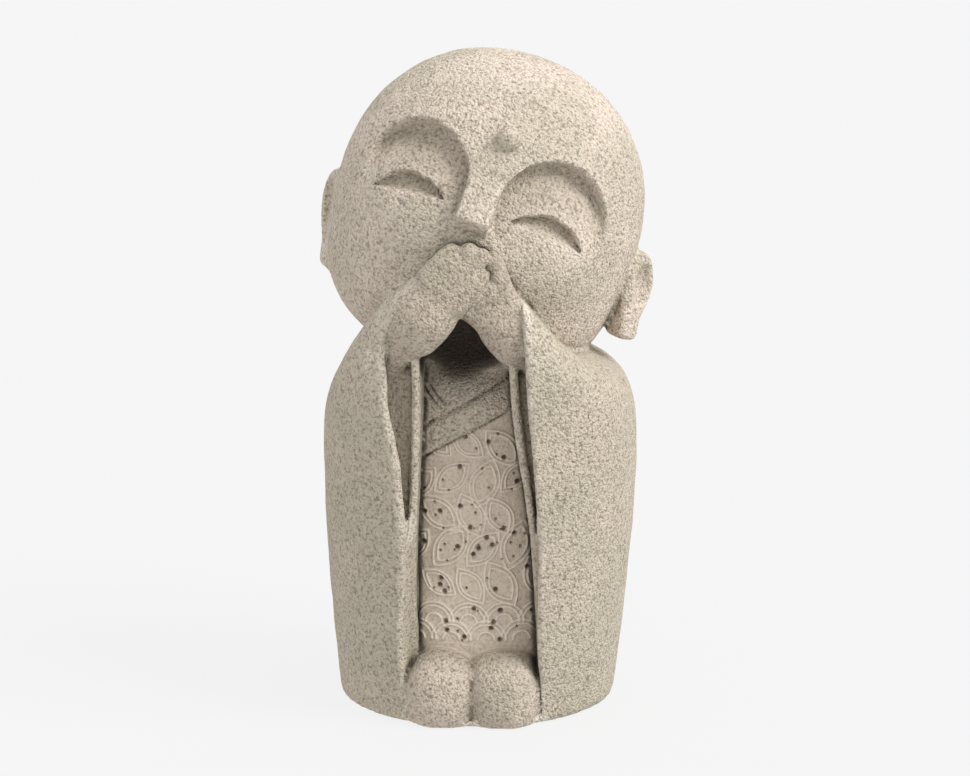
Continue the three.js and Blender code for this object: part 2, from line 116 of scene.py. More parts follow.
def smoothstep(value: Values, low: float, high: float) -> Values:
    """0 up to low, 1 from high on, and a soft step between."""
    share = np.clip((value - low) / (high - low), 0.0, 1.0)
    return share * share * (3.0 - 2.0 * share)


def joined(one: Values, other: Values, blend: Values | float) -> Values:
    """Two solids as one, with a fillet where they meet.

    Args:
        one: Distance to the first solid.
        other: Distance to the second solid.
        blend: Size of the fillet.

    Returns:
        Distance to both together.
    """
    share = np.clip(0.5 + 0.5 * (other - one) / blend, 0.0, 1.0)
    return lerp(other, one, share) - blend * share * (1.0 - share)


def common(one: Values, other: Values, blend: float) -> Values:
    """What two solids share, with its edge rounded by blend."""
    return -joined(-one, -other, blend)


def carved(stone: Values, hollow: Values, blend: float) -> Values:
    """A solid with a hollow cut out of it, and the hollow's rim rounded by blend."""
    return common(stone, -hollow, blend)


def ellipsoid(local: Points, half: tuple[float, float, float]) -> Values:
    """Distance to an ellipsoid of three half-axes about the origin."""
    near = np.linalg.norm(local / half, axis=1)
    slope = np.linalg.norm(local / np.square(half), axis=1)
    return near * (near - 1.0) / np.maximum(slope, TINY)


def capsule(points: Points, start: np.ndarray, end: np.ndarray, radius: float) -> Values:
    """Distance to a rod with round ends."""
    axis = end - start
    share = np.clip((points - start) @ axis / (axis @ axis), 0.0, 1.0)
    return np.linalg.norm(points - start - share[:, None] * axis, axis=1) - radius


def rounded_plate(flat: Values, across: Values, half: float, rim: float) -> Values:
    """A plate cut along an outline, with a rounded rim.

    Args:
        flat: Distance to the outline, in its plane.
        across: Height over the plate's middle plane.
        half: Half the plate's thickness.
        rim: Radius of the rim.

    Returns:
        Distance to the plate.
    """
    beside = flat + rim
    above = np.abs(across) - (half - rim)
    outside = np.hypot(np.maximum(beside, 0.0), np.maximum(above, 0.0))
    return outside + np.minimum(np.maximum(beside, above), 0.0) - rim


@dataclass(frozen=True)
class Head:
    """The big round head: a ball above, fuller below, tipped and turned."""

    width: float = 93.5
    crown: float = 96.0
    depth: float = 91.0
    jaw: float = 98.0
    top: float = 96.6
    crown_fullness: float = 2.13
    jaw_fullness: float = 2.8
    jaw_dip: float = 0.6  # downward part of a direction from which the jaw's fullness holds
    tilt: float = 17.5
    turn: float = -3.4
    shift: float = 4.7
    back: float = 2.0

    def centre(self) -> np.ndarray:
        """The middle of the head, so that the crown is at the figure's full height."""
        return np.array([self.shift, self.back, HEIGHT - self.top])

    def own(self, points: Points) -> Points:
        """The points in the head's own frame, with the face towards -Y."""
        turned = Matrix.Rotation(math.radians(self.turn), 3, "Z")
        axes = np.array(turned @ Matrix.Rotation(math.radians(self.tilt), 3, "Y"))
        return (points - self.centre()) @ axes

    def reach(self, direction: Points) -> Values:
        """How far the plain head reaches in each direction."""
        level = np.hypot(direction[:, 0] / self.width, direction[:, 1] / self.depth)
        upright = np.abs(direction[:, 2]) / np.where(direction[:, 2] > 0, self.crown, self.jaw)
        low = smoothstep(-direction[:, 2], 0.0, self.jaw_dip)
        power = lerp(self.crown_fullness, self.jaw_fullness, low)
        return (level**power + upright**power) ** (-1.0 / power)

    def ball(self, own: Points) -> Values:
        """Distance to the plain head."""
        length = np.maximum(np.linalg.norm(own, axis=1), TINY)
        return length - self.reach(own / length[:, None])

    def surface(self, x: float, z: float) -> np.ndarray:
        """The point of the plain face that lies at x and near z."""
        front = -math.sqrt(max(self.depth**2 - x**2 - z**2, 1.0))
        direction = np.array([[x, front, z]]) / math.hypot(x, front, z)
        return direction[0] * self.reach(direction)[0]

    def stand(self, own: Points, x: float, z: float) -> Points:
        """Points seen from a place on the face.

        Args:
            own: Points in the head's frame.
            x: Place of the feature to the side.
            z: Place of the feature in height.

        Returns:
            Rows of right, up and out, from that place.
        """
        foot = self.surface(x, z)
        out = foot / np.linalg.norm(foot)
        right = np.cross([0.0, 0.0, 1.0], out)
        right /= np.linalg.norm(right)
        return (own - foot) @ np.column_stack([right, np.cross(out, right), out])


@dataclass(frozen=True)
class Face:
    """A doll's laughing face, laid out in eyes: the head is five eyes wide, both sides alike."""

    head: Head
    eyes_across: float = 5.0
    eye_out: float = 1.18  # these five in eye widths
    eye_arch: float = 0.31
    eye_reach: float = 0.65
    brow_out: float = 1.19
    brow_radius: float = 0.97
    eye_line: float = 11.0  # the rest in millimetres and degrees
    eye_slant: float = 9.5
    eye_opening: float = 12.0
    eye_depth: float = 7.5
    eye_bed: float = 4.0  # the higher, the flatter the eye's bed and the sharper its lower lid
    lid_round: float = 0.6
    brow_rise: float = 14.0
    brow_depth: float = 11.0
    brow_wall: float = 5.0
    brow_low: float = -26.0
    brow_high: float = 16.0
    brow_lean: float = 0.2  # how much deeper the hollow gets towards the nose
    cheek_radius: float = 62.0
    cheek_proud: float = 3.0
    cheek_out: float = 50.0
    cheek_drop: float = -26.0
    cheek_blend: float = 3.0
    dot_radius: float = 7.3
    dot_depth: float = 8.0
    dot_side: float = 4.4
    dot_height: float = 51.0
    dot_blend: float = 0.6
    nose_tip: float = 4.6
    nose_top: float = 31.0
    nose_under: float = -4.0
    nose_height: float = 10.5
    nose_half: float = 10.0
    nose_edge: float = 0.16  # rounding of the tip, as a share of the nose's height
    nose_slope: float = 0.85  # keeps distances true beside the slanted ridge
    nose_round: float = 2.5
    nose_blend: float = 1.8

    def eye_width(self) -> float:
        """The measure that the face is laid out in."""
        return 2.0 * self.head.width / self.eyes_across

    def folded(self, own: Points) -> Points:
        """The points with both sides of the head laid on the left one."""
        return np.column_stack([np.abs(own[:, 0]), own[:, 1], own[:, 2]])

    def brow_place(self, folded: Points) -> Points:
        """The points seen from the middle of the brow hollow."""
        return self.head.stand(folded, self.brow_out * self.eye_width(), self.brow_rise)

    def brow_inward(self, local: Points) -> Values:
        """How far points, seen from the brow hollow's middle, lie inside its rim."""
        return self.brow_radius * self.eye_width() - np.hypot(local[:, 0], local[:, 1])

    def brow_cut(self, folded: Points) -> Values:
        """Depth of the brow hollows: steep under the brow, running out into the cheek below.

        Args:
            folded: Points in the head's frame, folded to one side.

        Returns:
            How far the surface is sunk at each point.
        """
        local = self.brow_place(folded)
        wall = 1.0 - np.square(1.0 - np.clip(self.brow_inward(local) / self.brow_wall, 0.0, 1.0))
        up = local[:, 1] - self.brow_lean * local[:, 0]
        deep = smoothstep(up, self.brow_low, self.brow_high)
        return self.brow_depth * deep * wall * (folded[:, 1] < 0.0)

    def lid(self, folded: Points) -> tuple[Values, Values]:
        """The edge of the closed lid, which is a bow.

        Args:
            folded: Points in the head's frame, folded to one side.

        Returns:
            How high the bow stands beside each point, 1 in its middle and 0 at its ends, and how
            far the point lies under the bow.
        """
        eye = self.eye_width()
        local = self.head.stand(folded, self.eye_out * eye, self.eye_line)
        slant = math.radians(self.eye_slant)
        along = local[:, 0] * math.cos(slant) - local[:, 1] * math.sin(slant)
        up = local[:, 1] * math.cos(slant) + local[:, 0] * math.sin(slant)
        arch = 1.0 - np.square(along / (self.eye_reach * eye))
        return np.maximum(arch, 0.0), (arch - 0.5) * self.eye_arch * eye - up

    def eye_cut(self, folded: Points) -> Values:
        """Depth of the closed eyes' crescents, sharp under the lid and at the cheek.

        Args:
            folded: Points in the head's frame, folded to one side.

        Returns:
            How far the surface is sunk at each point.
        """
        bow, under = self.lid(folded)
        across = np.clip(under / (self.eye_opening * bow + TINY), 0.0, 1.0)
        near = smoothstep(under, -self.lid_round, self.lid_round)
        bed = near * (1.0 - across**self.eye_bed)
        return self.eye_depth * bed * np.sqrt(bow) * (folded[:, 1] < 0.0)

    def line_gap(self, own: Points) -> Values:
        """How far points lie from the sharp lines of the face: the brows' rims and the lids.

        Args:
            own: Points in the head's frame.

        Returns:
            The gap to the nearest line, or the figure's height behind the face.
        """
        folded = self.folded(own)
        rim = np.abs(self.brow_inward(self.brow_place(folded)))
        bow, under = self.lid(folded)
        lids = np.minimum(np.abs(under), np.abs(under - self.eye_opening * bow))
        nearest = np.where(bow > 0.0, np.minimum(rim, lids), rim)
        return np.where(own[:, 1] < 0.0, nearest, HEIGHT)

    def cheeks(self, folded: Points) -> Values:
        """Distance to the balls that fill the cheeks."""
        touch = self.head.surface(self.cheek_out, self.cheek_drop)
        middle = touch * (1.0 + (self.cheek_proud - self.cheek_radius) / np.linalg.norm(touch))
        return np.linalg.norm(folded - middle, axis=1) - self.cheek_radius

    def nose(self, folded: Points, ball: Values) -> Values:
        """A small wedge that runs out of the forehead and ends in a slanted underside.

        Args:
            folded: Points in the head's frame, folded to one side.
            ball: Distance to the plain head.

        Returns:
            Distance to the nose.
        """
        ridge = (self.nose_top - folded[:, 2]) / (self.nose_top - self.nose_tip)
        under = (folded[:, 2] - self.nose_under) / (self.nose_tip - self.nose_under)
        height = self.nose_height * joined(ridge, under, self.nose_edge)
        wedge = (ball - height) * self.nose_slope
        return common(wedge, folded[:, 0] - self.nose_half, self.nose_round)

    def distance(self, own: Points) -> Values:
        """Distance to the head with its face.

        Args:
            own: Points in the head's frame.

        Returns:
            Distance to the carved head without its ears.
        """
        folded = self.folded(own)
        ball = self.head.ball(own)
        stone = joined(ball + self.brow_cut(folded), self.cheeks(folded), self.cheek_blend)
        stone = stone + self.eye_cut(folded)
        local = self.head.stand(own, self.dot_side, self.dot_height)
        dot = ellipsoid(local, (self.dot_radius, self.dot_radius, self.dot_depth))
        stone = joined(stone, dot, self.dot_blend)
        front = np.where(own[:, 1] < 0.0, self.nose(folded, ball), self.head.depth)
        return joined(stone, front, self.nose_blend)


@dataclass(frozen=True)
class Ears:
    """Two flat ears with a rolled rim, a hollow shell and a long lobe."""

    head: Head
    height_left: float = 54.0
    height_right: float = 60.0
    half_width: float = 13.5
    thickness: float = 15.0
    rim: float = 3.5
    top_left: float = 4.0
    top_right: float = -6.0
    behind: float = 4.0
    sunk_left: float = 1.5
    sunk_right: float = 13.5
    slant: float = 0.15
    flare: float = 34.0
    upper_share: float = 0.36  # half the upper ear and half the lobe, as shares of the height
    lobe_share: float = 0.28
    lobe_half: float = 9.0
    lobe_round: float = 5.0
    lobe_ahead: float = 3.5
    lobe_blend: float = 6.0
    shell: tuple[float, float, float] = (7.5, 13.0, 5.0)
    shell_back: float = 1.5
    shell_round: float = 2.0
    blend: float = 3.0

    def outline(self, back: Values, up: Values, tall: Values) -> Values:
        """Distance to the ear's outline in its own plane: an oval that runs out into a lobe.

        Args:
            back: Places from the ear's middle line to the back.
            up: Heights over the ear's top, so less than zero on the ear.
            tall: The ear's height.

        Returns:
            Distance to the outline.
        """
        half = self.upper_share * tall
        upper = np.hypot(back / self.half_width, (up + half) / half) - 1.0
        lobe_half = self.lobe_share * tall
        over = np.maximum(np.abs(up + tall - lobe_half) - lobe_half + self.lobe_round, 0.0)
        beside = np.maximum(np.abs(back + self.lobe_ahead) - self.lobe_half + self.lobe_round, 0.0)
        lobe = np.hypot(beside, over) - self.lobe_round
        return joined(upper * self.half_width, lobe, self.lobe_blend)

    def distance(self, own: Points) -> Values:
        """Distance to both ears.

        Args:
            own: Points in the head's frame.

        Returns:
            Distance to the nearer ear.
        """
        turn = math.radians(self.flare)
        left = own[:, 0] > 0.0
        tall = np.where(left, self.height_left, self.height_right)
        up = own[:, 2] - np.where(left, self.top_left, self.top_right)
        aside = np.abs(own[:, 0] + self.slant * (up + tall / 2.0))
        x = aside - self.head.width + np.where(left, self.sunk_left, self.sunk_right)
        y = own[:, 1] - self.behind
        back = x * math.sin(turn) + y * math.cos(turn)
        half = self.thickness / 2.0
        out = x * math.cos(turn) - y * math.sin(turn) - half
        plate = rounded_plate(self.outline(back, up, tall), out, half, self.rim)
        local = np.column_stack([back - self.shell_back, up + self.upper_share * tall, out - half])
        return carved(plate, ellipsoid(local, self.shell), self.shell_round)


@dataclass(frozen=True)
class Robe:
    """The robe as a plain solid: a skirt that widens to the girth, and square-fronted shoulders."""

    hem: float = 85.0
    girth: float = 96.0
    girth_height: float = 152.0
    dome: float = 72.0
    flare_power: float = 1.6
    back_depth: float = 0.86
    front_depth: float = 0.965
    lean: float = 0.0008
    roundness: float = 3.5
    squareness: float = 4.7
    plan_roundness: float = 0.0022
    wrist_lift: float = 58.0
    wrist_slant: float = 8.0
    wrist_spread: tuple[float, float] = (2.4, 5.0)  # at -X and +X
    wrist_turn: float = 0.15
    wrist_side: float = -11.5
    ground_round: float = 5.0
    sway: float = -2.5
    crease_x: float = 66.0
    crease_top: float = 52.0
    crease_width: float = 2.2
    crease_depth: float = 1.4
    crease_slant: float = 0.1  # sideways for each millimetre up
    crease_fade: float = 30.0

    def half_width(self, z: Values) -> Values:
        """Half the robe's width at each height."""
        below = np.maximum(0.0, 1.0 - np.maximum(z, 0.0) / self.girth_height)
        return self.girth - (self.girth - self.hem) * below**self.flare_power

    def swayed(self, z: Values) -> Values:
        """How far the robe's middle line stands aside: it leans a little over the foot."""
        return self.sway * np.clip(1.0 - z / self.girth_height, 0.0, 1.0)

    def plan_power(self, z: Values) -> Values:
        """How square the plan is at each height: 2 is an ellipse."""
        return 2.0 + self.plan_roundness * np.maximum(z, 0.0)

    def depth_share(self, z: Values) -> Values:
        """Depth of the front as a share of the half width."""
        return self.front_depth + self.lean * np.maximum(z, 0.0)

    def front_y(self, x: Values, z: Values) -> Values:
        """Depth of the robe's front at x, without the shoulders' rounding."""
        x = x - self.swayed(z)
        half = self.half_width(z)
        power = self.plan_power(z)
        inside = np.maximum(1.0 - np.minimum(np.abs(x) / half, 1.0) ** power, 0.0)
        return -half * self.depth_share(z) * inside ** (1.0 / power)

    def distance(self, points: Points) -> Values:
        """Distance to the robe before its front is opened.

        Args:
            points: Points in the figure's frame.

        Returns:
            Distance to the plain robe, cut flat on the ground.
        """
        x, y, z = points.T
        x = x - self.swayed(z)
        power = self.plan_power(z)
        depth = y / np.where(y < 0, self.depth_share(z), self.back_depth)
        level = (np.abs(x) ** power + np.abs(depth) ** power) ** (1.0 / power)
        side = np.sign(x) * np.abs(x) ** (power / 2.0)
        ahead = np.sign(-y) * np.abs(depth) ** (power / 2.0)
        angle = np.arctan2(side, ahead)
        off = angle - math.atan2(self.wrist_side, self.girth)
        lift = self.wrist_lift + self.wrist_slant * np.sin(off)
        spread = lerp(*self.wrist_spread, smoothstep(np.sin(off), -self.wrist_turn, self.wrist_turn))
        rise = self.dome + lift * np.maximum(0.0, np.cos(off)) ** spread
        edge = self.roundness + self.squareness * np.maximum(0.0, np.cos(angle)) ** 2
        over = np.maximum(z - self.girth_height, 0.0) / rise
        share = ((level / self.half_width(z)) ** edge + over**edge) ** (1.0 / edge)
        line = np.exp(-np.square((x - self.crease_x - self.crease_slant * z) / self.crease_width))
        fade = smoothstep(self.crease_top - z, 0.0, self.crease_fade)
        crease = self.crease_depth * line * fade * (y < 0)
        return common(self.girth * (share - 1.0) + crease, -z, self.ground_round)


@dataclass(frozen=True)
class Dress:
    """The lace dress that shows between the sleeves, with its collar band and scalloped hem."""

    foot_x: float = 0.5
    chin_x: float = -11.5
    chin_height: float = 245.0
    foot_y: float = -66.0
    collar_y: float = -63.0
    collar_height: float = 190.0
    bow: float = 1.5
    neck_y: float = -40.0
    neck_height: float = 235.0
    roundness: float = 85.0
    band_width: float = 16.0
    band_slope: float = 28.5
    band_middle: float = 183.5
    band_proud: float = 1.6
    band_edge: float = 0.7
    line_width: float = 1.0
    line_depth: float = 2.0
    lapel_x: float = -25.0
    lapel_height: float = 198.0
    lapel_slope: float = -48.0
    lapel_half: float = 8.0
    lapel_gap: float = 3.6
    lapel_end: float = 2.0
    hem_height: float = 36.0
    hem_arch: float = 5.0
    hem_pitch: float = 38.0
    hem_step: float = 5.0

    def middle(self, z: Values) -> Values:
        """The middle line of the opening, which leans with the head."""
        return lerp(self.foot_x, self.chin_x, z / self.chin_height)

    def over_band(self, x: Values, z: Values) -> Values:
        """How far a point lies above the collar band's middle line, square to it."""
        slope = math.radians(self.band_slope)
        along = (x - self.middle(self.band_middle)) * math.sin(slope)
        return (z - self.band_middle) * math.cos(slope) - along

    def hem_line(self, x: Values) -> Values:
        """Height of the hem: one shallow arch over each foot."""
        return self.hem_height + self.hem_arch * np.abs(np.sin(math.pi * x / self.hem_pitch))

    def lines(self, x: Values, z: Values) -> Values:
        """1 in the cut lines: both edges of the collar band and the two strokes of the lapel.

        Args:
            x: Places to the side.
            z: Heights.

        Returns:
            How much of a line's depth each place has.
        """
        over = np.abs(self.over_band(x, z)) - self.band_width / 2.0
        slope = math.radians(self.lapel_slope)
        along = (x - self.lapel_x) * math.cos(slope) + (z - self.lapel_height) * math.sin(slope)
        across = (z - self.lapel_height) * math.cos(slope) - (x - self.lapel_x) * math.sin(slope)
        stroke = np.abs(across) - self.lapel_gap / 2.0
        reach = smoothstep(self.lapel_half - np.abs(along), 0.0, self.lapel_end)
        band, lapel = (np.exp(-np.square(gap / self.line_width)) for gap in (over, stroke))
        return np.maximum(band, reach * lapel)

    def relief(self, x: Values, z: Values) -> Values:
        """How far the dress stands out from its plain front: band, cut lines and hem.

        Args:
            x: Places to the side.
            z: Heights.

        Returns:
            Height of the relief at each place.
        """
        inside = self.band_width / 2.0 - np.abs(self.over_band(x, z))
        band = self.band_proud * smoothstep(inside, -self.band_edge, self.band_edge)
        hem = self.hem_step * smoothstep(self.hem_line(x) - z, -self.band_edge, self.band_edge)
        return band - self.line_depth * self.lines(x, z) - hem

    def front_y(self, x: Values, z: Values) -> Values:
        """Depth of the plain front of the dress."""
        share = np.clip(z / self.collar_height, 0.0, 1.0)
        low = lerp(self.foot_y, self.collar_y, share**self.bow)
        high = smoothstep(z, self.collar_height, self.neck_height) * (self.neck_y - self.collar_y)
        return low + high + np.square(x - self.middle(z)) / (2.0 * self.roundness)


@dataclass(frozen=True)
class Sleeves:
    """The opening between the hanging sleeves, and the slot between each sleeve's two layers."""

    robe: Robe
    dress: Dress
    left: tuple[float, float, float] = (41.5, 36.0, 42.0)  # half widths at top, middle and foot
    right: tuple[float, float, float] = (42.0, 44.0, 40.0)
    top_heights: tuple[float, float] = (155.0, 205.0)
    foot_heights: tuple[float, float] = (40.0, 120.0)
    step: float = 13.0
    step_x: float = 40.5
    lip_left: float = 5.5
    lip_right: float = 1.5
    close_left: float = 9.0
    close_from: float = 236.0
    close_to: float = 264.0
    base: float = 5.0
    inner_left: tuple[float, float] = (20.3, 32.5)  # half widths at the top and the foot
    inner_right: tuple[float, float] = (31.3, 39.0)
    inner_left_heights: tuple[float, float] = (50.0, 235.0)
    inner_right_heights: tuple[float, float] = (104.0, 210.0)
    slot_layer: float = 6.0
    slot_rim: float = 5.0
    slot_reach: float = 7.0
    slot_depth: float = 12.0
    slot_top: float = 229.0
    slot_foot: float = 118.0
    hem_round: float = 3.0
    rim_round: float = 2.0

    def outer_half(self, aside: Values, z: Values) -> Values:
        """Half the width between the sleeves' hems.

        Args:
            aside: Places from the opening's middle line, which tell the side.
            z: Heights.

        Returns:
            How far the hem stands from the middle line at each place.
        """
        top, middle, foot = (np.where(aside < 0, *pair) for pair in zip(self.left, self.right))
        lower = lerp(foot, middle, smoothstep(z, *self.foot_heights))
        return lerp(lower, top, smoothstep(z, *self.top_heights))

    def inside(self, x: Values, z: Values) -> Values:
        """How far a place lies in from the edge of the nearer inner layer.

        Args:
            x: Places to the side.
            z: Heights.

        Returns:
            The gap to the edge, less than zero beyond it.
        """
        aside = x - self.dress.middle(z)
        halves = []
        for (top, foot), heights in (
            (self.inner_left, self.inner_left_heights),
            (self.inner_right, self.inner_right_heights),
        ):
            halves.append(lerp(foot, top, smoothstep(z, *heights)))
        return np.where(aside < 0, *halves) - np.abs(aside)

    def opened(self, points: Points, cloth: Values) -> Values:
        """Cuts the front of the robe open down to the dress.

        Args:
            points: Points in the figure's frame.
            cloth: Distance to the plain robe.

        Returns:
            Distance to the robe with its opening, slots and dress.
        """
        x, y, z = points.T
        aside = x - self.dress.middle(z)
        left = aside < 0
        depth = y - self.robe.front_y(x, z)
        step_y = self.robe.front_y(np.full_like(x, self.step_x), z) + self.step
        dress_y = self.dress.front_y(x, z) - self.dress.relief(x, z)
        lip = np.where(left, self.lip_left, self.lip_right) * np.clip(depth / self.step, 0.0, 1.0)
        close = np.where(left, self.close_left, 0.0) * smoothstep(z, self.close_from, self.close_to)
        above_base = self.base - z
        outer = self.outer_half(aside, z)
        gap = np.maximum(np.abs(aside) - outer + lip + close, y - np.minimum(step_y, dress_y))
        inside = self.inside(x, z)
        recess = np.maximum(-inside, y - dress_y)
        share = np.clip((z - self.slot_foot) / (self.slot_top - self.slot_foot), 0.0, 1.0)
        reach = outer + self.slot_reach * share
        slot = np.maximum(inside + self.slot_rim, np.abs(aside) - reach)
        slot = np.maximum(slot, y - step_y - self.slot_depth * np.sqrt(share))
        slot = np.maximum(slot, self.slot_layer - depth)
        slot = np.maximum(slot, np.maximum(self.slot_foot - z, z - self.slot_top))
        cloth = carved(cloth, np.maximum(gap, above_base), self.hem_round)
        cloth = carved(cloth, np.maximum(recess, above_base), self.rim_round)
        return carved(cloth, slot, self.rim_round)


@dataclass(frozen=True)
class Hand:
    """A flat hand with its back to the front: a broad palm out of the sleeve and four fingers."""

    wrist: tuple[float, float, float]
    tip: tuple[float, float, float]
    heel: tuple[float, float, float]
    elbow: tuple[float, float, float]
    half_width: float
    half_depth: float
    finger_radius: float
    finger_short: tuple[float, ...]
    finger_aside: tuple[float, ...]
    spread: float
    palm_end: float = 0.8  # these four as shares of the hand
    palm_taper: float = 0.18
    palm_thinning: float = 0.3
    knuckles: float = 0.45
    palm_power: float = 2.4
    palm_round: float = 9.0
    palm_heel: float = 8.0
    palm_blend: float = 3.5
    forearm: float = 14.0
    forearm_blend: float = 9.0
    finger_blend: float = 1.6
    finger_sunk: float = 0.5

    def palm(self, local: Points, length: float) -> Values:
        """Distance to the palm, a flat bar with rounded ends.

        Args:
            local: Points as side, out and along, from the wrist.
            length: From the wrist to the fingertips.

        Returns:
            Distance to the palm.
        """
        share = np.clip(local[:, 2] / length, 0.0, 1.0)
        half = self.half_width * (1.0 - self.palm_taper * share**2)
        deep = self.half_depth * (1.0 - self.palm_thinning * share)
        power = self.palm_power
        section = np.abs(local[:, 0] / half) ** power + np.abs(local[:, 1] / deep) ** power
        bar = deep * (section ** (1.0 / power) - 1.0)
        bar = common(bar, local[:, 2] - self.palm_end * length, self.palm_round)
        return common(bar, -local[:, 2] - self.palm_heel, self.palm_round)

    def distance(self, points: Points) -> Values:
        """Distance to the hand and the forearm in its sleeve.

        Args:
            points: Points in the figure's frame.

        Returns:
            Distance to the whole hand.
        """
        wrist, tip = np.array(self.wrist), np.array(self.tip)
        length = np.linalg.norm(tip - wrist)
        along = (tip - wrist) / length
        out = np.array([0.0, -1.0, 0.0]) + along * along[1]
        out /= np.linalg.norm(out)
        side = np.cross(along, out)
        local = (points - wrist) @ np.column_stack([side, out, along])
        forearm = capsule(points, np.array(self.heel), np.array(self.elbow), self.forearm)
        whole = joined(self.palm(local, length), forearm, self.forearm_blend)
        rise = self.half_depth - self.finger_radius - self.finger_sunk
        knuckle = wrist + along * (self.knuckles * length) + out * rise
        fingers = np.full(len(points), HEIGHT)
        for short, aside in zip(self.finger_short, self.finger_aside):
            end = tip - along * (short + self.finger_radius) + side * aside * self.spread
            rod = capsule(points, knuckle + side * aside, end, self.finger_radius)
            fingers = joined(fingers, rod, self.finger_blend)
        return joined(whole, fingers, self.palm_blend)


@dataclass(frozen=True)
class Feet:
    """Two big rounded toes of shoes under the hem, side by side."""

    half: tuple[float, float, float] = (24.0, 30.0, 27.0)
    middle_x: float = -1.5
    middle_y: float = -58.0
    middle_height: float = 18.0
    overlap: float = 6.0
    boxiness: float = 0.8
    crease: float = 0.4

    def distance(self, points: Points) -> Values:
        """Distance to both feet.

        Args:
            points: Points in the figure's frame.

        Returns:
            Distance to the nearer foot, cut flat on the ground.
        """
        power = 2.0 / self.boxiness
        lumps = []
        for side in (-1.0, 1.0):
            x = self.middle_x + side * (self.half[0] - self.overlap)
            share = np.abs(points - (x, self.middle_y, self.middle_height)) / self.half
            lumps.append(self.half[0] * (np.sum(share**power, axis=1) ** (1.0 / power) - 1.0))
        return np.maximum(joined(*lumps, self.crease), -points[:, 2])


@dataclass(frozen=True)
class Zone:
    """A box whose carving needs a finer mesh."""

    level: Detail
    low: tuple[float, float, float]
    high: tuple[float, float, float]

    def holds(self, points: Points) -> np.ndarray:
        """Whether each point lies in the box."""
        return np.all((points > self.low) & (points < self.high), axis=1)


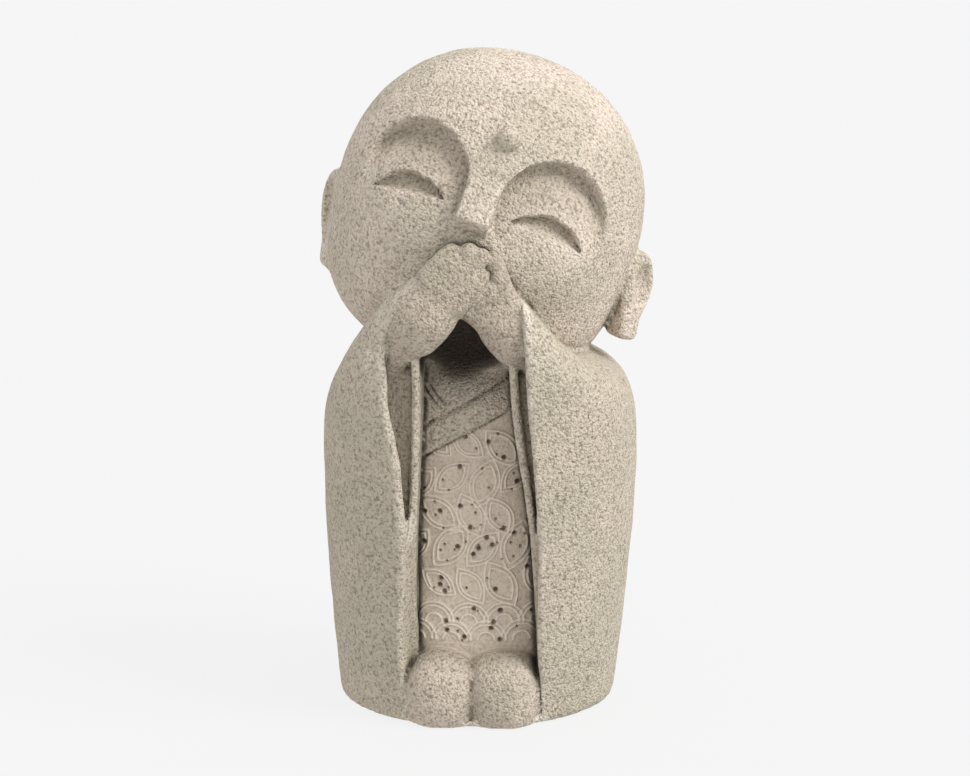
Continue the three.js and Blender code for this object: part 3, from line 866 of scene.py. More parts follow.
@dataclass(frozen=True)
class Figure:
    """The whole figure as one solid, and what the mesh is told about each point of it."""

    head: Head = Head()
    robe: Robe = Robe()
    dress: Dress = Dress()
    feet: Feet = Feet()
    hand_right: Hand = Hand(
        wrist=(-36.0, -95.0, 244.5),
        tip=(6.0, -95.0, 293.0),
        heel=(-28.0, -93.0, 251.0),
        elbow=(-52.0, -74.0, 224.0),
        half_width=17.5,
        half_depth=9.5,
        finger_radius=5.5,
        finger_short=(9.0, 2.0, 0.0, 9.0),
        finger_aside=(-11.8, -4.0, 4.0, 11.8),
        spread=0.9,
    )
    hand_left: Hand = Hand(
        wrist=(26.0, -88.5, 237.0),
        tip=(-3.5, -90.0, 277.0),
        heel=(21.0, -88.0, 244.0),
        elbow=(44.0, -74.0, 220.0),
        half_width=14.5,
        half_depth=9.5,
        finger_radius=5.5,
        finger_short=(8.0, 2.0, 2.0, -1.0),
        finger_aside=(-9.0, -3.0, 3.0, 10.0),
        spread=1.65,
    )
    hollow_middle: tuple[float, float, float] = (-9.0, -70.0, 234.0)
    hollow_half: tuple[float, float, float] = (27.0, 30.0, 24.0)
    hollow_round: float = 6.0
    # reach of the painted shade around the hollow under the chin, painted only behind hollow_front
    hollow_shade: float = 16.0
    hollow_front: float = -90.0
    hand_touch: float = 1.0  # fillets where two parts meet
    foot_touch: float = 1.2
    robe_touch: float = 1.2
    neck_touch: float = 5.0
    neck_depths: tuple[float, float] = (-85.0, -50.0)
    # distances out along the normal at which the painted shade in crevices is sampled
    occlusion: tuple[float, ...] = (3.0, 7.0, 14.0)
    edge_depth: float = 2.5
    # how dark shade is painted into the dress's cut lines
    line_shade: float = 0.85
    lace_depth: float = 4.0
    lace_edge: tuple[float, float] = (0.3, 1.3)  # how far in the lace begins and is full
    soil_reach: float = 1.5
    soil_feet: float = 0.7
    # painted shade in the brow hollows and the eyes' crescents, the more the deeper they are cut
    brow_shade: float = 0.6
    eye_shade: float = 0.8
    seam_reach: float = 5.0
    line_reach: float = 3.5
    zones: tuple[Zone, ...] = (
        Zone(Detail.CARVED, (-60.0, -130.0, 0.0), (48.0, -35.0, 270.0)),  # the opening
        Zone(Detail.CARVED, (-75.0, -130.0, 205.0), (55.0, -78.0, 300.0)),  # the hands
        Zone(Detail.FINE, (-24.0, -130.0, 255.0), (34.0, -88.0, 292.0)),  # the fingers
        Zone(Detail.FINE, (-38.0, -75.0, 186.0), (-12.0, -45.0, 210.0)),  # the lapel's lines
    )
    head_zones: tuple[Zone, ...] = (
        Zone(Detail.CARVED, (-88.0, -130.0, -22.0), (88.0, -35.0, 64.0)),  # the face
        Zone(Detail.CARVED, (-130.0, -60.0, -74.0), (-84.0, 60.0, 2.0)),  # the right ear
        Zone(Detail.CARVED, (84.0, -60.0, -60.0), (130.0, 60.0, 10.0)),  # the left ear
        Zone(Detail.FINE, (-16.0, -130.0, -10.0), (16.0, -40.0, 36.0)),  # the nose
        Zone(Detail.FINE, (-7.0, -130.0, 40.0), (16.0, -40.0, 62.0)),  # the dot
    )

    def hollow(self, points: Points) -> Values:
        """Distance to the space under the chin, behind the raised hands."""
        return ellipsoid(points - self.hollow_middle, self.hollow_half)

    def hands(self, points: Points) -> Values:
        """Distance to both hands, the right one laid over the left one."""
        right, left = self.hand_right.distance(points), self.hand_left.distance(points)
        return joined(right, left, self.hand_touch)

    def skin(self, points: Points) -> Values:
        """Distance to the head and hands."""
        own = self.head.own(points)
        stone = joined(Face(self.head).distance(own), Ears(self.head).distance(own), Ears.blend)
        stone = carved(stone, self.hollow(points), self.hollow_round)
        return joined(stone, self.hands(points), self.hand_touch)

    def cloth(self, points: Points) -> Values:
        """Distance to the robe, opened down to the dress."""
        robe = carved(self.robe.distance(points), self.hollow(points), self.hollow_round)
        return Sleeves(self.robe, self.dress).opened(points, robe)

    def distance(self, points: Points) -> Values:
        """Distance to the figure, cut flat on the ground."""
        lower = joined(self.cloth(points), self.feet.distance(points), self.foot_touch)
        touch = lerp(self.robe_touch, self.neck_touch, smoothstep(points[:, 1], *self.neck_depths))
        return np.maximum(joined(lower, self.skin(points), touch), -points[:, 2])

    def dress_mask(self, points: Points) -> Values:
        """How far each point lies inside the part of the dress that shows between the sleeves."""
        x, y, z = points.T
        near = self.lace_depth - np.abs(y - self.dress.front_y(x, z))
        return np.minimum(Sleeves(self.robe, self.dress).inside(x, z), near)

    def lace_mask(self, points: Points) -> Values:
        """1 where the dress is lace: between the sleeves, under the collar band and over the hem."""
        x, _, z = points.T
        under = -self.dress.over_band(x, z) - self.dress.band_width / 2.0
        lace = np.minimum(under, z - self.dress.hem_line(x))
        return smoothstep(np.minimum(lace, self.dress_mask(points)), *self.lace_edge)

    def soil_and_shade_mask(self, points: Points) -> Values:
        """Up to 1 where handling and rain have left the skin dull, on the hands and feet, and where shade is
        painted into the brow hollows and the eyes' crescents.

        Args:
            points: Points of the surface.

        Returns:
            How much dirt and painted shade darken the skin at each point.
        """
        face = Face(self.head)
        folded = face.folded(self.head.own(points))
        # painted shade in the brow hollows and the eyes' crescents
        brows = self.brow_shade * face.brow_cut(folded) / face.brow_depth
        eyes = self.eye_shade * face.eye_cut(folded) / face.eye_depth
        hands = smoothstep(self.soil_reach - self.hands(points), 0.0, self.soil_reach)
        feet = smoothstep(self.soil_reach - self.feet.distance(points), 0.0, self.soil_reach)
        return np.max([hands, self.soil_feet * feet, brows, eyes], axis=0)

    def detail(self, points: Points) -> np.ndarray:
        """How finely the mesh is cut at each point.

        Args:
            points: The middles of the mesh's faces.

        Returns:
            The number of halvings for each face.
        """
        own = self.head.own(points)
        x, y, z = points.T
        collar = np.abs(self.dress.over_band(x, z)) - self.dress.band_width / 2.0
        seam = np.abs(self.skin(points) - self.cloth(points))
        wanted = [
            (Detail.CARVED, (seam < self.seam_reach) & (y < 0.0)),
            (Detail.FINE, (collar < self.line_reach) & (self.dress_mask(points) > 0.0)),
            (Detail.FINE, Face(self.head).line_gap(own) < self.line_reach),
            (Detail.LACE, self.lace_mask(points) > 0.0),
        ]
        wanted += [(zone.level, zone.holds(points)) for zone in self.zones]
        wanted += [(zone.level, zone.holds(own)) for zone in self.head_zones]
        return np.max([level.value * place for level, place in wanted], axis=0)

    def masks(self, points: Points, normals: Points) -> dict[Mask, Values]:
        """What the finish needs to know about each point of the surface.

        Args:
            points: Points of the surface.
            normals: Directions out of the stone there.

        Returns:
            One row of values from 0 to 1 for each mask.
        """
        # Painted shade: the more the stone closes in around a point, the darker it is painted
        shade = np.zeros(len(points))
        for far in self.occlusion:
            clear = self.distance(points + far * normals) / far
            shade += np.clip(1.0 - clear, 0.0, 1.0) / len(self.occlusion)
        inward = -self.distance(points - self.edge_depth * normals) / self.edge_depth
        nearer = self.skin(points) - self.cloth(points)
        on_foot = self.feet.distance(points) < self.soil_reach
        # painted shade in the hollow under the chin, behind the hands
        deep = smoothstep(self.hollow_shade - self.hollow(points), 0.0, self.hollow_shade)
        dress = smoothstep(self.dress_mask(points), 0.0, 1.0)
        # painted shade in the cut lines of the collar band and the lapel
        lines = self.line_shade * dress * self.dress.lines(points[:, 0], points[:, 2])
        return {
            Mask.DRESS: dress,
            Mask.LACE: self.lace_mask(points),
            Mask.CLOTH: smoothstep(nearer, -self.robe_touch, self.robe_touch) * ~on_foot,
            Mask.SOIL: self.soil_and_shade_mask(points),
            Mask.CREVICE: np.max([shade, deep * (points[:, 1] > self.hollow_front), lines], axis=0),
            Mask.EDGE: np.clip(1.0 - inward, 0.0, 1.0),
        }


def slope_of(distance: Distance, points: Points) -> tuple[Values, Points]:
    """The distance at each point and which way it grows, by four samples around it.

    Args:
        distance: The figure's distance.
        points: Where to sample it.

    Returns:
        One value and one vector for each point.
    """
    corners = np.array([[1, -1, -1], [-1, -1, 1], [-1, 1, -1], [1, 1, 1]], float)
    samples = [distance(points + SAMPLE_STEP * corner) for corner in corners]
    slope = sum(value[:, None] * corner for value, corner in zip(samples, corners))
    return sum(samples) / len(corners), slope / (len(corners) * SAMPLE_STEP)


def settled(distance: Distance, points: Points, rounds: int, most: float) -> Points:
    """Moves points onto the surface.

    Args:
        distance: The figure's distance.
        points: Points near the surface.
        rounds: How many times each point is moved.
        most: The furthest that one move may go.

    Returns:
        The moved points.
    """
    for _ in range(rounds):
        value, slope = slope_of(distance, points)
        square = np.maximum(np.sum(slope * slope, axis=1), LEAST_SLOPE)
        move = np.clip(value / square, -most, most)
        points = points - move[:, None] * slope
    return points


@dataclass(frozen=True)
class StoneMesh:
    """Turns the figure's distance into one closed mesh, finer where the carving is fine."""

    figure: Figure
    cell: float = 4.2
    margin: float = 9.0
    rounds: int = 2

    def polygons(self) -> tuple[Points, np.ndarray]:
        """The surface as points and four-sided faces, all of one size.

        Returns:
            The points in millimetres, and four indices for each face.
        """
        low = np.array(CAD_LOW) / MM - self.margin
        high = np.array(CAD_HIGH) / MM + self.margin
        axes = [np.arange(a, b, self.cell) for a, b in zip(low, high)]
        box = np.stack(np.meshgrid(*axes, indexing="ij"), axis=-1)
        values = self.figure.distance(box.reshape(-1, 3)).reshape(box.shape[:3])
        grid = openvdb.FloatGrid(background=self.margin)
        grid.copyFromArray(values.astype(np.float32))
        points, quads = grid.convertToQuads(0.0)
        return low + self.cell * points, quads

    def build(self) -> bpy.types.Mesh:
        """Makes the mesh and stores the masks in it.

        Returns:
            The closed mesh, in metres.
        """
        points, quads = self.polygons()
        mesh = bpy.data.meshes.new(NODE)
        mesh.from_pydata(points.tolist(), [], quads.tolist())
        shape = bmesh.new()
        shape.from_mesh(mesh)
        self.keep_shell(shape)
        self.settle(shape)
        for level in (Detail.CARVED, Detail.FINE, Detail.LACE):
            self.refine(shape, level)
            self.settle(shape)
        bmesh.ops.triangulate(shape, faces=[f for f in shape.faces if len(f.verts) > 4])
        bmesh.ops.recalc_face_normals(shape, faces=shape.faces)
        shape.to_mesh(mesh)
        shape.free()
        self.store_masks(mesh)
        mesh.transform(Matrix.Scale(MM, 4))
        mesh.shade_smooth()
        return mesh

    def keep_shell(self, shape: bmesh.types.BMesh) -> None:
        """Deletes what isn't joined to the outer surface, such as a bubble between two parts.

        Args:
            shape: The mesh being made.
        """
        reached = set()
        waiting = [max(shape.verts, key=lambda vertex: vertex.co.z)]
        while waiting:
            vertex = waiting.pop()
            if vertex not in reached:
                reached.add(vertex)
                waiting.extend(edge.other_vert(vertex) for edge in vertex.link_edges)
        loose = [vertex for vertex in shape.verts if vertex not in reached]
        bmesh.ops.delete(shape, geom=loose, context="VERTS")

    def refine(self, shape: bmesh.types.BMesh, level: Detail) -> None:
        """Halves the faces that need at least this level of detail.

        Args:
            shape: The mesh being made.
            level: The level to reach.
        """
        centres = np.array([f.calc_center_median() for f in shape.faces])
        wanted = self.figure.detail(centres) >= level.value
        edges = {e for f, keep in zip(shape.faces, wanted) if keep for e in f.edges}
        bmesh.ops.subdivide_edges(shape, edges=list(edges), cuts=1, use_grid_fill=True)

    def settle(self, shape: bmesh.types.BMesh) -> None:
        """Moves the mesh's points onto the surface.

        Args:
            shape: The mesh being made.
        """
        points = np.array([v.co for v in shape.verts])
        moved = settled(self.figure.distance, points, self.rounds, self.cell / 2.0)
        for vertex, place in zip(shape.verts, moved.tolist()):
            vertex.co = place

    def store_masks(self, mesh: bpy.types.Mesh) -> None:
        """Stores what the relief and the finish read.

        Args:
            mesh: The mesh, in millimetres.
        """
        points = np.empty(len(mesh.vertices) * 3)
        mesh.vertices.foreach_get("co", points)
        points = points.reshape(-1, 3)
        _, slope = slope_of(self.figure.distance, points)
        normals = slope / np.linalg.norm(slope, axis=1, keepdims=True)
        for mask, values in self.figure.masks(points, normals).items():
            layer = mesh.attributes.new(mask.value, "FLOAT", "POINT")
            layer.data.foreach_set("value", values.astype(np.float32))


def add_node(
    tree: bpy.types.NodeTree,
    kind: str,
    inputs: dict[str | int, object] | None = None,
    **settings: object,
) -> bpy.types.Node:
    """Adds a node to a tree.

    Args:
        tree: The node tree.
        kind: The node's type.
        inputs: For each input, by name or number, a value, another node's output or a list of them.
        settings: The node's own settings.

    Returns:
        The new node.
    """
    node = tree.nodes.new(kind)
    for name, value in settings.items():
        setattr(node, name, value)
    for key, value in (inputs or {}).items():
        sources = value if isinstance(value, list) else [value]
        for source in sources:
            if isinstance(source, Socket):
                tree.links.new(source, node.inputs[key])
            else:
                node.inputs[key].default_value = source
    return node


@dataclass(frozen=True)
class Lace:
    """The pierced pattern of the dress: double-lined leaves over two rows of fans.

    Sizes are in millimetres and degrees. The pattern lies in a plane of its own whose X is the
    figure's X and whose Y is the figure's height; the dress is shaped by how near each of its
    points is to a line or a hole of that pattern.
    """

    leaf_length: float = 29.0
    leaf_width: float = 16.0
    leaf_inner: float = 0.74  # the inner line, as a share of the outer one
    leaf_sizes: tuple[float, float] = (0.8, 1.1)
    leaf_holes: tuple[int, int] = (2, 3)
    leaf_hole_field: tuple[float, float] = (0.42, 0.5)
    columns: int = 5
    rows: int = 3
    column_pitch: float = 20.0
    row_pitch: float = 42.0
    middle: tuple[float, float] = (-4.0, 127.0)
    jitter: float = 2.5
    lean: float = 58.0
    lean_shares: tuple[float, float] = (0.25, 1.0)
    fan_radius: float = 12.0
    fan_rings: tuple[float, ...] = (1.0, 0.8, 0.42)
    fan_holes: int = 4
    fan_hole_ring: float = 0.62
    fan_pitch: float = 21.0
    fan_rows: tuple[tuple[int, float], ...] = ((4, 50.0), (5, 61.0))
    rib_width: float = 1.0
    rib_height: float = 1.2
    hole_radius: float = 2.1
    hole_floor: float = 0.9
    hole_depth: float = 3.0
    hole_share: float = 0.28
    pinhole_radius: float = 1.3
    pinhole_share: float = 0.4
    hole_jitter: float = 2.0
    uneven_depth: float = 0.4
    uneven_size: float = 14.0
    uneven_from: float = 2.0
    steps: int = 16
    seed: int = 7

    def sizes(self) -> dict[str, float]:
        """The sizes that stay open as inputs of the node group."""
        return {
            "Leaf Length": self.leaf_length,
            "Leaf Width": self.leaf_width,
            "Lean": math.radians(self.lean),
            "Fan Radius": self.fan_radius,
            "Rib Width": self.rib_width,
            "Rib Height": self.rib_height,
            "Hole Radius": self.hole_radius,
            "Hole Floor": self.hole_floor,
            "Hole Height": -self.hole_depth,
            "Pinhole Radius": self.pinhole_radius,
            "Uneven Height": self.uneven_depth,
        }

    def group(self, material: bpy.types.Material) -> bpy.types.NodeTree:
        """Makes the node group that carves the pattern.

        Args:
            material: What the carved stone is made of.

        Returns:
            The node group.
        """
        tree = bpy.data.node_groups.new("Lace relief", "GeometryNodeTree")
        tree.interface.new_socket("Geometry", in_out="INPUT", socket_type="NodeSocketGeometry")
        tree.interface.new_socket("Geometry", in_out="OUTPUT", socket_type="NodeSocketGeometry")
        for name in self.sizes():
            tree.interface.new_socket(name, in_out="INPUT", socket_type="NodeSocketFloat")
        given = add_node(tree, "NodeGroupInput").outputs
        pattern = []
        for leaves, fans in zip(self.leaves(tree, given), self.fans(tree, given)):
            both = add_node(tree, "GeometryNodeJoinGeometry", {"Geometry": leaves + fans}).outputs[0]
            pattern.append(add_node(tree, "GeometryNodeRealizeInstances", {"Geometry": both}).outputs[0])
        lines, dots = pattern
        stone = self.relief(tree, given, lines, dots)
        whole = add_node(tree, "GeometryNodeRealizeInstances", {"Geometry": stone}).outputs[0]
        dressed = add_node(tree, "GeometryNodeSetMaterial", {"Geometry": whole, "Material": material})
        add_node(tree, "NodeGroupOutput", {"Geometry": dressed.outputs[0]})
        return tree

    def leaf(self, tree: bpy.types.NodeTree) -> tuple[Socket, Socket]:
        """One upright leaf about the origin, 1 long and 1 wide.

        Args:
            tree: The node group.

        Returns:
            Its lines, and the places of its holes.
        """
        bows = []
        for side in (-1.0, 1.0):
            ends = {"Start": (0.0, -0.5, 0.0), "Middle": (side, 0.0, 0.0), "End": (0.0, 0.5, 0.0)}
            curve = {"Resolution": self.steps, **ends}
            bow = add_node(tree, "GeometryNodeCurveQuadraticBezier", curve).outputs[0]
            small = {"Geometry": bow, "Scale": (self.leaf_inner,) * 3}
            bows += [bow, add_node(tree, "GeometryNodeTransform", small).outputs[0]]
        outline = add_node(tree, "GeometryNodeJoinGeometry", {"Geometry": bows}).outputs[0]
        lines = add_node(tree, "GeometryNodeCurveToMesh", {"Curve": outline}).outputs[0]
        (columns, rows), (across, high) = self.leaf_holes, self.leaf_hole_field
        field = {"Size X": across, "Size Y": high, "Vertices X": columns, "Vertices Y": rows}
        return lines, add_node(tree, "GeometryNodeMeshGrid", field).outputs[0]

    def leaves(
        self, tree: bpy.types.NodeTree, given: bpy.types.NodeOutputs
    ) -> tuple[list[Socket], list[Socket]]:
        """All the leaves, in two staggered fields that lean to opposite sides.

        Args:
            tree: The node group.
            given: The group's inputs.

        Returns:
            Their lines, and the places of their holes.
        """
        sides = {"X": given["Leaf Width"], "Y": given["Leaf Length"], "Z": 1.0}
        size = add_node(tree, "ShaderNodeCombineXYZ", sides).outputs[0]
        x, y = self.middle
        nearest, furthest = (x - self.jitter, y - self.jitter, 0.0), (x + self.jitter, y + self.jitter, 0.0)
        leaf = self.leaf(tree)
        parts = ([], [])
        for turn, way in enumerate((1.0, -1.0)):
            columns, rows, seed = self.columns - turn, self.rows - turn, self.seed + turn
            across, high = self.column_pitch * (columns - 1), self.row_pitch * (rows - 1)
            field = {"Size X": across, "Size Y": high, "Vertices X": columns, "Vertices Y": rows}
            grid = add_node(tree, "GeometryNodeMeshGrid", field).outputs[0]
            chance = {0: nearest, 1: furthest, "Seed": seed}
            place = add_node(tree, "FunctionNodeRandomValue", chance, data_type="FLOAT_VECTOR").outputs[0]
            points = add_node(tree, "GeometryNodeSetPosition", {"Geometry": grid, "Offset": place}).outputs[0]
            least, most = ((0.0, 0.0, way * share) for share in self.lean_shares)
            chance = {0: least, 1: most, "Seed": seed}
            swing = add_node(tree, "FunctionNodeRandomValue", chance, data_type="FLOAT_VECTOR").outputs[0]
            turned = {0: swing, "Scale": given["Lean"]}
            lean = add_node(tree, "ShaderNodeVectorMath", turned, operation="SCALE").outputs[0]
            smallest, largest = self.leaf_sizes
            chance = {2: smallest, 3: largest, "Seed": seed}
            share = add_node(tree, "FunctionNodeRandomValue", chance, data_type="FLOAT").outputs[1]
            scaled = {0: size, "Scale": share}
            scale = add_node(tree, "ShaderNodeVectorMath", scaled, operation="SCALE").outputs[0]
            for part, found in zip(leaf, parts):
                each = {"Points": points, "Instance": part, "Rotation": lean, "Scale": scale}
                found.append(add_node(tree, "GeometryNodeInstanceOnPoints", each).outputs[0])
        return parts

    def fans(
        self, tree: bpy.types.NodeTree, given: bpy.types.NodeOutputs
    ) -> tuple[list[Socket], list[Socket]]:
        """Two staggered rows of half-round fans along the hem.

        Args:
            tree: The node group.
            given: The group's inputs.

        Returns:
            Their lines, and the places of their holes.
        """
        arcs = [(ring, self.steps) for ring in self.fan_rings] + [(self.fan_hole_ring, self.fan_holes)]
        curves = []
        for radius, steps in arcs:
            half_turn = {"Resolution": steps, "Radius": radius, "Start Angle": 0.0, "Sweep Angle": math.pi}
            curves.append(add_node(tree, "GeometryNodeCurveArc", half_turn, mode="RADIUS").outputs[0])
        *rings, hole_ring = curves
        rings = add_node(tree, "GeometryNodeJoinGeometry", {"Geometry": rings}).outputs[0]
        fan = [add_node(tree, "GeometryNodeCurveToMesh", {"Curve": c}).outputs[0] for c in (rings, hole_ring)]
        parts = ([], [])
        for count, height in self.fan_rows:
            first = self.middle[0] - self.fan_pitch * (count - 1) / 2.0
            row = {
                "Count": count,
                "Start Location": (first, height, 0.0),
                "Offset": (self.fan_pitch, 0.0, 0.0),
            }
            points = add_node(tree, "GeometryNodeMeshLine", row).outputs[0]
            for part, found in zip(fan, parts):
                each = {"Points": points, "Instance": part, "Scale": given["Fan Radius"]}
                found.append(add_node(tree, "GeometryNodeInstanceOnPoints", each).outputs[0])
        return parts

    def scattered(self, tree: bpy.types.NodeTree, dots: Socket, share: float) -> Socket:
        """A random share of the holes' places, each moved a little aside.

        Args:
            tree: The node group.
            dots: All the places.
            share: How many of them are kept.

        Returns:
            The places that are kept.
        """
        chance = {"Probability": 1.0 - share, "Seed": self.seed + round(share / TINY)}
        away = add_node(tree, "FunctionNodeRandomValue", chance, data_type="BOOLEAN").outputs[3]
        kept = add_node(tree, "GeometryNodeDeleteGeometry", {"Geometry": dots, "Selection": away}).outputs[0]
        aside = self.hole_jitter
        chance = {0: (-aside, -aside, 0.0), 1: (aside, aside, 0.0), "Seed": self.seed}
        move = add_node(tree, "FunctionNodeRandomValue", chance, data_type="FLOAT_VECTOR").outputs[0]
        return add_node(tree, "GeometryNodeSetPosition", {"Geometry": kept, "Offset": move}).outputs[0]

    def relief(
        self, tree: bpy.types.NodeTree, given: bpy.types.NodeOutputs, lines: Socket, dots: Socket
    ) -> Socket:
        """Raises the ribs, sinks the holes and leaves the whole stone a little uneven.

        Args:
            tree: The node group.
            given: The group's inputs.
            lines: The pattern's lines.
            dots: The places of the pattern's holes.

        Returns:
            The carved stone.
        """
        position = add_node(tree, "GeometryNodeInputPosition").outputs[0]
        in_mm = {0: position, "Scale": 1.0 / MM}
        place = add_node(tree, "ShaderNodeVectorMath", in_mm, operation="SCALE").outputs[0]
        axes = add_node(tree, "ShaderNodeSeparateXYZ", {0: place}).outputs
        flat = add_node(tree, "ShaderNodeCombineXYZ", {"X": axes["X"], "Y": axes["Z"]}).outputs[0]
        lace = add_node(tree, "GeometryNodeInputNamedAttribute", {"Name": Mask.LACE.value}).outputs[0]
        holes = self.scattered(tree, dots, self.hole_share)
        pinholes = self.scattered(tree, dots, self.pinhole_share)
        shares = []
        for target, element, start, end in (
            (lines, "EDGES", 0.0, given["Rib Width"]),
            (holes, "POINTS", given["Hole Floor"], given["Hole Radius"]),
            (pinholes, "POINTS", 0.0, given["Pinhole Radius"]),
        ):
            near = {"Geometry": target, "Sample Position": flat}
            gap = add_node(tree, "GeometryNodeProximity", near, target_element=element).outputs["Distance"]
            fall = {"Value": gap, "From Min": start, "From Max": end, "To Min": lace, "To Max": 0.0}
            soft = add_node(tree, "ShaderNodeMapRange", fall, interpolation_type="SMOOTHSTEP")
            shares.append(soft.outputs[0])
        rib, *sunk = shares
        hole = add_node(tree, "ShaderNodeMath", dict(enumerate(sunk)), operation="MAXIMUM").outputs[0]
        wave = {"Vector": place, "Scale": 1.0 / self.uneven_size}
        swell = add_node(tree, "ShaderNodeTexNoise", wave, normalize=False).outputs[0]
        height = 0.0
        for share, name in ((rib, "Rib Height"), (hole, "Hole Height"), (swell, "Uneven Height")):
            sum_of = {0: share, 1: given[name], 2: height}
            height = add_node(tree, "ShaderNodeMath", sum_of, operation="MULTIPLY_ADD").outputs[0]
        move = add_node(tree, "GeometryNodeInputNormal").outputs[0]
        for scale in (height, MM):
            scaled = {0: move, "Scale": scale}
            move = add_node(tree, "ShaderNodeVectorMath", scaled, operation="SCALE").outputs[0]
        stone = given["Geometry"]
        # the hole share also sets the painted shade in the lace's holes
        for mask, value in ((Mask.RIB, rib), (Mask.HOLE, hole)):
            stored = {"Geometry": stone, "Name": mask.value, "Value": value}
            stone = add_node(tree, "GeometryNodeStoreNamedAttribute", stored).outputs[0]
        high = {0: axes["Z"], 1: self.uneven_from}
        off_ground = add_node(tree, "FunctionNodeCompare", high, operation="GREATER_THAN").outputs[0]
        moved = {"Geometry": stone, "Selection": off_ground, "Offset": move}
        return add_node(tree, "GeometryNodeSetPosition", moved).outputs[0]

    def carve(self, piece: bpy.types.Object, material: bpy.types.Material) -> None:
        """Carves the pattern into the piece and leaves it a plain mesh.

        Args:
            piece: The figure.
            material: What it is made of.
        """
        modifier = piece.modifiers.new("Lace", "NODES")
        modifier.node_group = self.group(material)
        sockets = modifier.node_group.interface.items_tree
        for name, value in self.sizes().items():
            modifier[sockets[name].identifier] = value
        whole = piece.evaluated_get(bpy.context.evaluated_depsgraph_get())
        mesh = bpy.data.meshes.new_from_object(whole)
        piece.modifiers.remove(modifier)
        piece.data = mesh
        LOG.info("lace: leaves, %d rows of fans and their holes", len(self.fan_rows))


def linear(code: str) -> tuple[float, float, float, float]:
    """A colour code such as "#C9BCAB" as linear red, green, blue and alpha."""
    parts = [int(code[place : place + 2], 16) / 255.0 for place in (1, 3, 5)]
    bright = [p / 12.92 if p <= 0.04045 else ((p + 0.055) / 1.055) ** 2.4 for p in parts]
    return (*bright, 1.0)


class Pattern(Enum):
    """The patterns of the stone itself."""

    MOTTLE = "mottle"
    SAND = "sand"
    PIT = "pit"


@dataclass(frozen=True)
class Coat:
    """A colour that covers the stone where a mask or a pattern is strong."""

    source: Mask | Pattern
    low: float
    high: float
    most: float
    colour: str


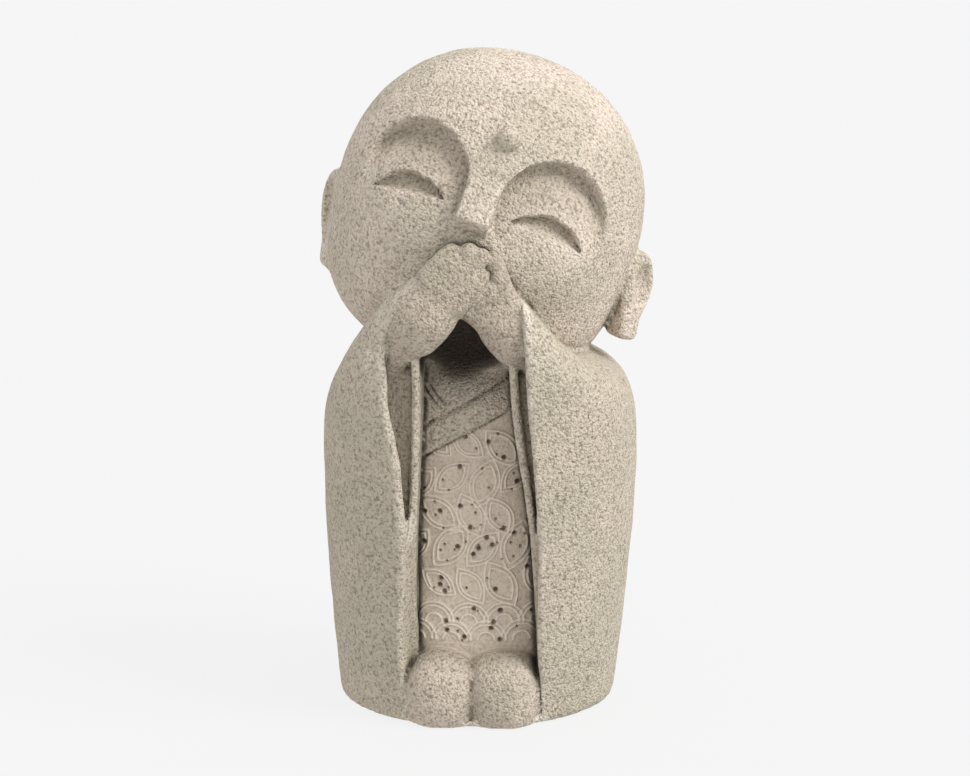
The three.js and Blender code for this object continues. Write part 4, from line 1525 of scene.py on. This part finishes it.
@dataclass(frozen=True)
class CastStone:
    """Cast stone of sand and cement: a dry, matt, pitted face that scatters light evenly.

    It is pinkish on the head, hands and dress and grey-green on the robe, pale where edges are
    rubbed, dull with old dirt on the hands and feet and greenish with moss in the hollows; shade is painted
    into the hollows, the cut lines, the lace's holes, the brow hollows and the eyes. Sizes are in
    millimetres.
    """

    ground: str = "#DACBBB"
    roughness: float = 0.92
    refraction: float = 1.5
    sand_size: float = 1.4
    sand_depth: float = 0.9
    pit_size: float = 2.2
    pit_depth: float = 1.3
    pit_detail: float = 4.0
    mottle_size: float = 50.0
    coats: tuple[Coat, ...] = (
        Coat(Mask.CLOTH, 0.0, 1.0, 1.0, "#C4B8A6"),  # the robe is greyer than the skin
        Coat(Mask.DRESS, 0.0, 1.0, 0.9, "#DCCEBE"),  # and the dress is not
        Coat(Pattern.MOTTLE, 0.35, 0.65, 0.45, "#B0AB95"),  # a thin bloom of algae
        Coat(Mask.SOIL, 0.0, 1.0, 0.42, "#8D826F"),  # dulled by rain on the hands and feet, painted shade in the brow hollows and eyes
        Coat(Mask.EDGE, 0.1, 0.6, 0.75, "#E2D7C7"),  # rubbed edges
        Coat(Pattern.SAND, 0.35, 1.0, 0.35, "#665B4C"),  # darker grains of sand
        Coat(Pattern.PIT, 0.53, 0.65, 0.5, "#5A4F41"),  # open pits
        Coat(Mask.LACE, 0.0, 1.0, 0.5, "#CDBDAD"),  # a finer face on the lace
        Coat(Mask.RIB, 0.2, 0.9, 0.7, "#EDE2D3"),  # rubbed ribs of the lace
        Coat(Mask.CREVICE, 0.4, 0.8, 0.4, "#8C8770"),  # moss and painted shade in the hollows
        Coat(Mask.CREVICE, 0.6, 1.0, 0.88, "#32261B"),  # painted shade, darkest in the deepest hollows
        Coat(Mask.HOLE, 0.3, 1.0, 0.7, "#32261B"),  # painted shade in the lace's holes
    )
    lace_grain: float = 0.4  # how much of the grain's depth is left on the lace

    def patterns(self, tree: bpy.types.NodeTree) -> tuple[dict[Pattern, Socket], list[tuple[Socket, float]]]:
        """Draws the stone's own patterns.

        Args:
            tree: The material's nodes.

        Returns:
            The share that each pattern has in the colour, and the heights of the grain with the
            depth that each stands for.
        """
        place = add_node(tree, "ShaderNodeTexCoord").outputs["Object"]
        clouds = {"Vector": place, "Scale": 1.0 / (self.mottle_size * MM)}
        mottle = add_node(tree, "ShaderNodeTexNoise", clouds).outputs[0]
        holes = {"Vector": place, "Scale": 1.0 / (self.pit_size * MM), "Detail": self.pit_detail}
        pit = add_node(tree, "ShaderNodeTexNoise", holes).outputs[0]
        grains = {"Vector": place, "Scale": 1.0 / (self.sand_size * MM)}
        sand = add_node(tree, "ShaderNodeTexVoronoi", grains).outputs
        shade = add_node(tree, "ShaderNodeSeparateColor", {0: sand["Color"]}).outputs[0]
        shares = {Pattern.MOTTLE: mottle, Pattern.SAND: shade, Pattern.PIT: pit}
        return shares, [(pit, self.pit_depth), (sand["Distance"], self.sand_depth)]

    def material(self) -> bpy.types.Material:
        """Makes the material.

        Returns:
            The material for the whole figure.
        """
        stone = bpy.data.materials.new("Cast stone")
        stone.use_nodes = True
        tree = stone.node_tree
        shader = tree.nodes["Principled BSDF"]
        shader.inputs["Roughness"].default_value = self.roughness
        shader.inputs["IOR"].default_value = self.refraction
        sources, heights = self.patterns(tree)
        for mask in Mask:
            sources[mask] = add_node(tree, "ShaderNodeAttribute", attribute_name=mask.value).outputs["Fac"]
        colour = linear(self.ground)
        for coat in self.coats:
            rise = {"Value": sources[coat.source], "From Min": coat.low, "From Max": coat.high}
            rise["To Max"] = coat.most
            share = add_node(tree, "ShaderNodeMapRange", rise, interpolation_type="SMOOTHSTEP").outputs[0]
            cover = {0: share, 6: colour, 7: linear(coat.colour)}
            colour = add_node(tree, "ShaderNodeMix", cover, data_type="RGBA").outputs[2]
        tree.links.new(colour, shader.inputs["Base Color"])
        calm = {"Value": sources[Mask.LACE], "To Min": 1.0, "To Max": self.lace_grain}
        strength = add_node(tree, "ShaderNodeMapRange", calm).outputs[0]
        normal = add_node(tree, "ShaderNodeNewGeometry").outputs["Normal"]
        for height, depth in heights:
            relief = {"Height": height, "Distance": -depth * MM, "Strength": strength, "Normal": normal}
            normal = add_node(tree, "ShaderNodeBump", relief).outputs[0]
        tree.links.new(normal, shader.inputs["Normal"])
        return stone


@dataclass(frozen=True)
class Studio:
    """A pale floor without an end, soft light from all around and a broad lamp to the right."""

    azimuth: float = 3.0
    elevation: float = 11.0
    distance: float = 1.6
    lens: float = 96.5
    sensor: float = 36.0
    aim: tuple[float, float, float] = (0.0, 0.0, 0.2)
    aim_right: float = 0.00246
    aim_up: float = -0.008
    floor_radius: float = 30.0
    floor_sides: int = 96
    floor_drop: float = 0.0002
    floor_colour: str = "#404040"
    floor_glow: float = 0.84
    sky_low: float = 0.75
    sky_high: float = 1.1
    lamp: float = 2.6
    lamp_angle: float = 35.0
    lamp_azimuth: float = 68.0
    lamp_elevation: float = 42.0

    def towards(self, azimuth: float, elevation: float) -> Vector:
        """The direction from the figure to a place around it."""
        turn, rise = math.radians(azimuth), math.radians(elevation)
        return Vector((math.sin(turn) * math.cos(rise), -math.cos(turn) * math.cos(rise), math.sin(rise)))

    def add(self, name: str, data: bpy.types.ID) -> bpy.types.Object:
        """A new object in the scene."""
        thing = bpy.data.objects.new(name, data)
        bpy.context.scene.collection.objects.link(thing)
        return thing

    def floor(self) -> None:
        """Lays the floor."""
        shape = bmesh.new()
        bmesh.ops.create_circle(
            shape, cap_ends=True, segments=self.floor_sides, radius=self.floor_radius
        )
        mesh = bpy.data.meshes.new("Floor")
        shape.to_mesh(mesh)
        shape.free()
        panel = bpy.data.materials.new("Backlit white acrylic")
        panel.use_nodes = True
        shader = panel.node_tree.nodes["Principled BSDF"]
        shader.inputs["Base Color"].default_value = linear(self.floor_colour)
        shader.inputs["Roughness"].default_value = 1.0
        shader.inputs["Specular IOR Level"].default_value = 0.0
        shader.inputs["Emission Color"].default_value = (1.0, 1.0, 1.0, 1.0)
        shader.inputs["Emission Strength"].default_value = self.floor_glow
        mesh.materials.append(panel)
        floor = self.add("Floor", mesh)
        floor.location.z = -self.floor_drop

    def lights(self) -> None:
        """Sets the sky and the lamp."""
        world = bpy.data.worlds.new("Soft light")
        world.use_nodes = True
        tree = world.node_tree
        sky = tree.nodes["Background"]
        sky.inputs["Color"].default_value = (1.0, 1.0, 1.0, 1.0)
        way = add_node(tree, "ShaderNodeTexCoord").outputs["Generated"]
        height = add_node(tree, "ShaderNodeSeparateXYZ", {0: way}).outputs["Z"]
        rise = {"Value": height, "To Min": self.sky_low, "To Max": self.sky_high}
        glow = add_node(tree, "ShaderNodeMapRange", rise).outputs[0]
        tree.links.new(glow, sky.inputs["Strength"])
        bpy.context.scene.world = world
        lamp = bpy.data.lights.new("Broad lamp", "SUN")
        lamp.energy = self.lamp
        lamp.angle = math.radians(self.lamp_angle)
        ray = self.towards(self.lamp_azimuth, self.lamp_elevation)
        self.add("Broad lamp", lamp).rotation_euler = ray.to_track_quat("Z", "Y").to_euler()

    def camera(self) -> None:
        """Sets the camera where the photographer stood."""
        out = self.towards(self.azimuth, self.elevation)
        right = Vector((0.0, 0.0, 1.0)).cross(out).normalized()
        aim = Vector(self.aim) + self.aim_right * right + self.aim_up * out.cross(right)
        lens = bpy.data.cameras.new("Camera")
        lens.lens = self.lens
        lens.sensor_width = self.sensor
        camera = self.add("Camera", lens)
        camera.location = aim + self.distance * out
        camera.rotation_euler = out.to_track_quat("Z", "Y").to_euler()
        bpy.context.scene.camera = camera

    def build(self) -> None:
        """Sets up everything around the figure."""
        self.floor()
        self.lights()
        self.camera()
        bpy.context.scene.view_settings.view_transform = "Standard"
        LOG.info("studio: floor, sky, lamp and camera")


def main() -> None:
    """Builds the figure and its studio, and ties the figure to the CAD model."""
    logging.basicConfig(level=logging.INFO, format="%(name)s: %(message)s")
    material = CastStone().material()
    mesh = StoneMesh(Figure()).build()
    triangles = len(mesh.loops) - 2 * len(mesh.polygons)
    LOG.info("stone: %d points, %d triangles", len(mesh.vertices), triangles)
    figure = bpy.data.objects.new("cast_figure", mesh)
    bpy.context.scene.collection.objects.link(figure)
    Lace().carve(figure, material)
    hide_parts(NODE)
    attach(figure, BODY)
    Studio().build()


if __name__ == "__main__":
    main()
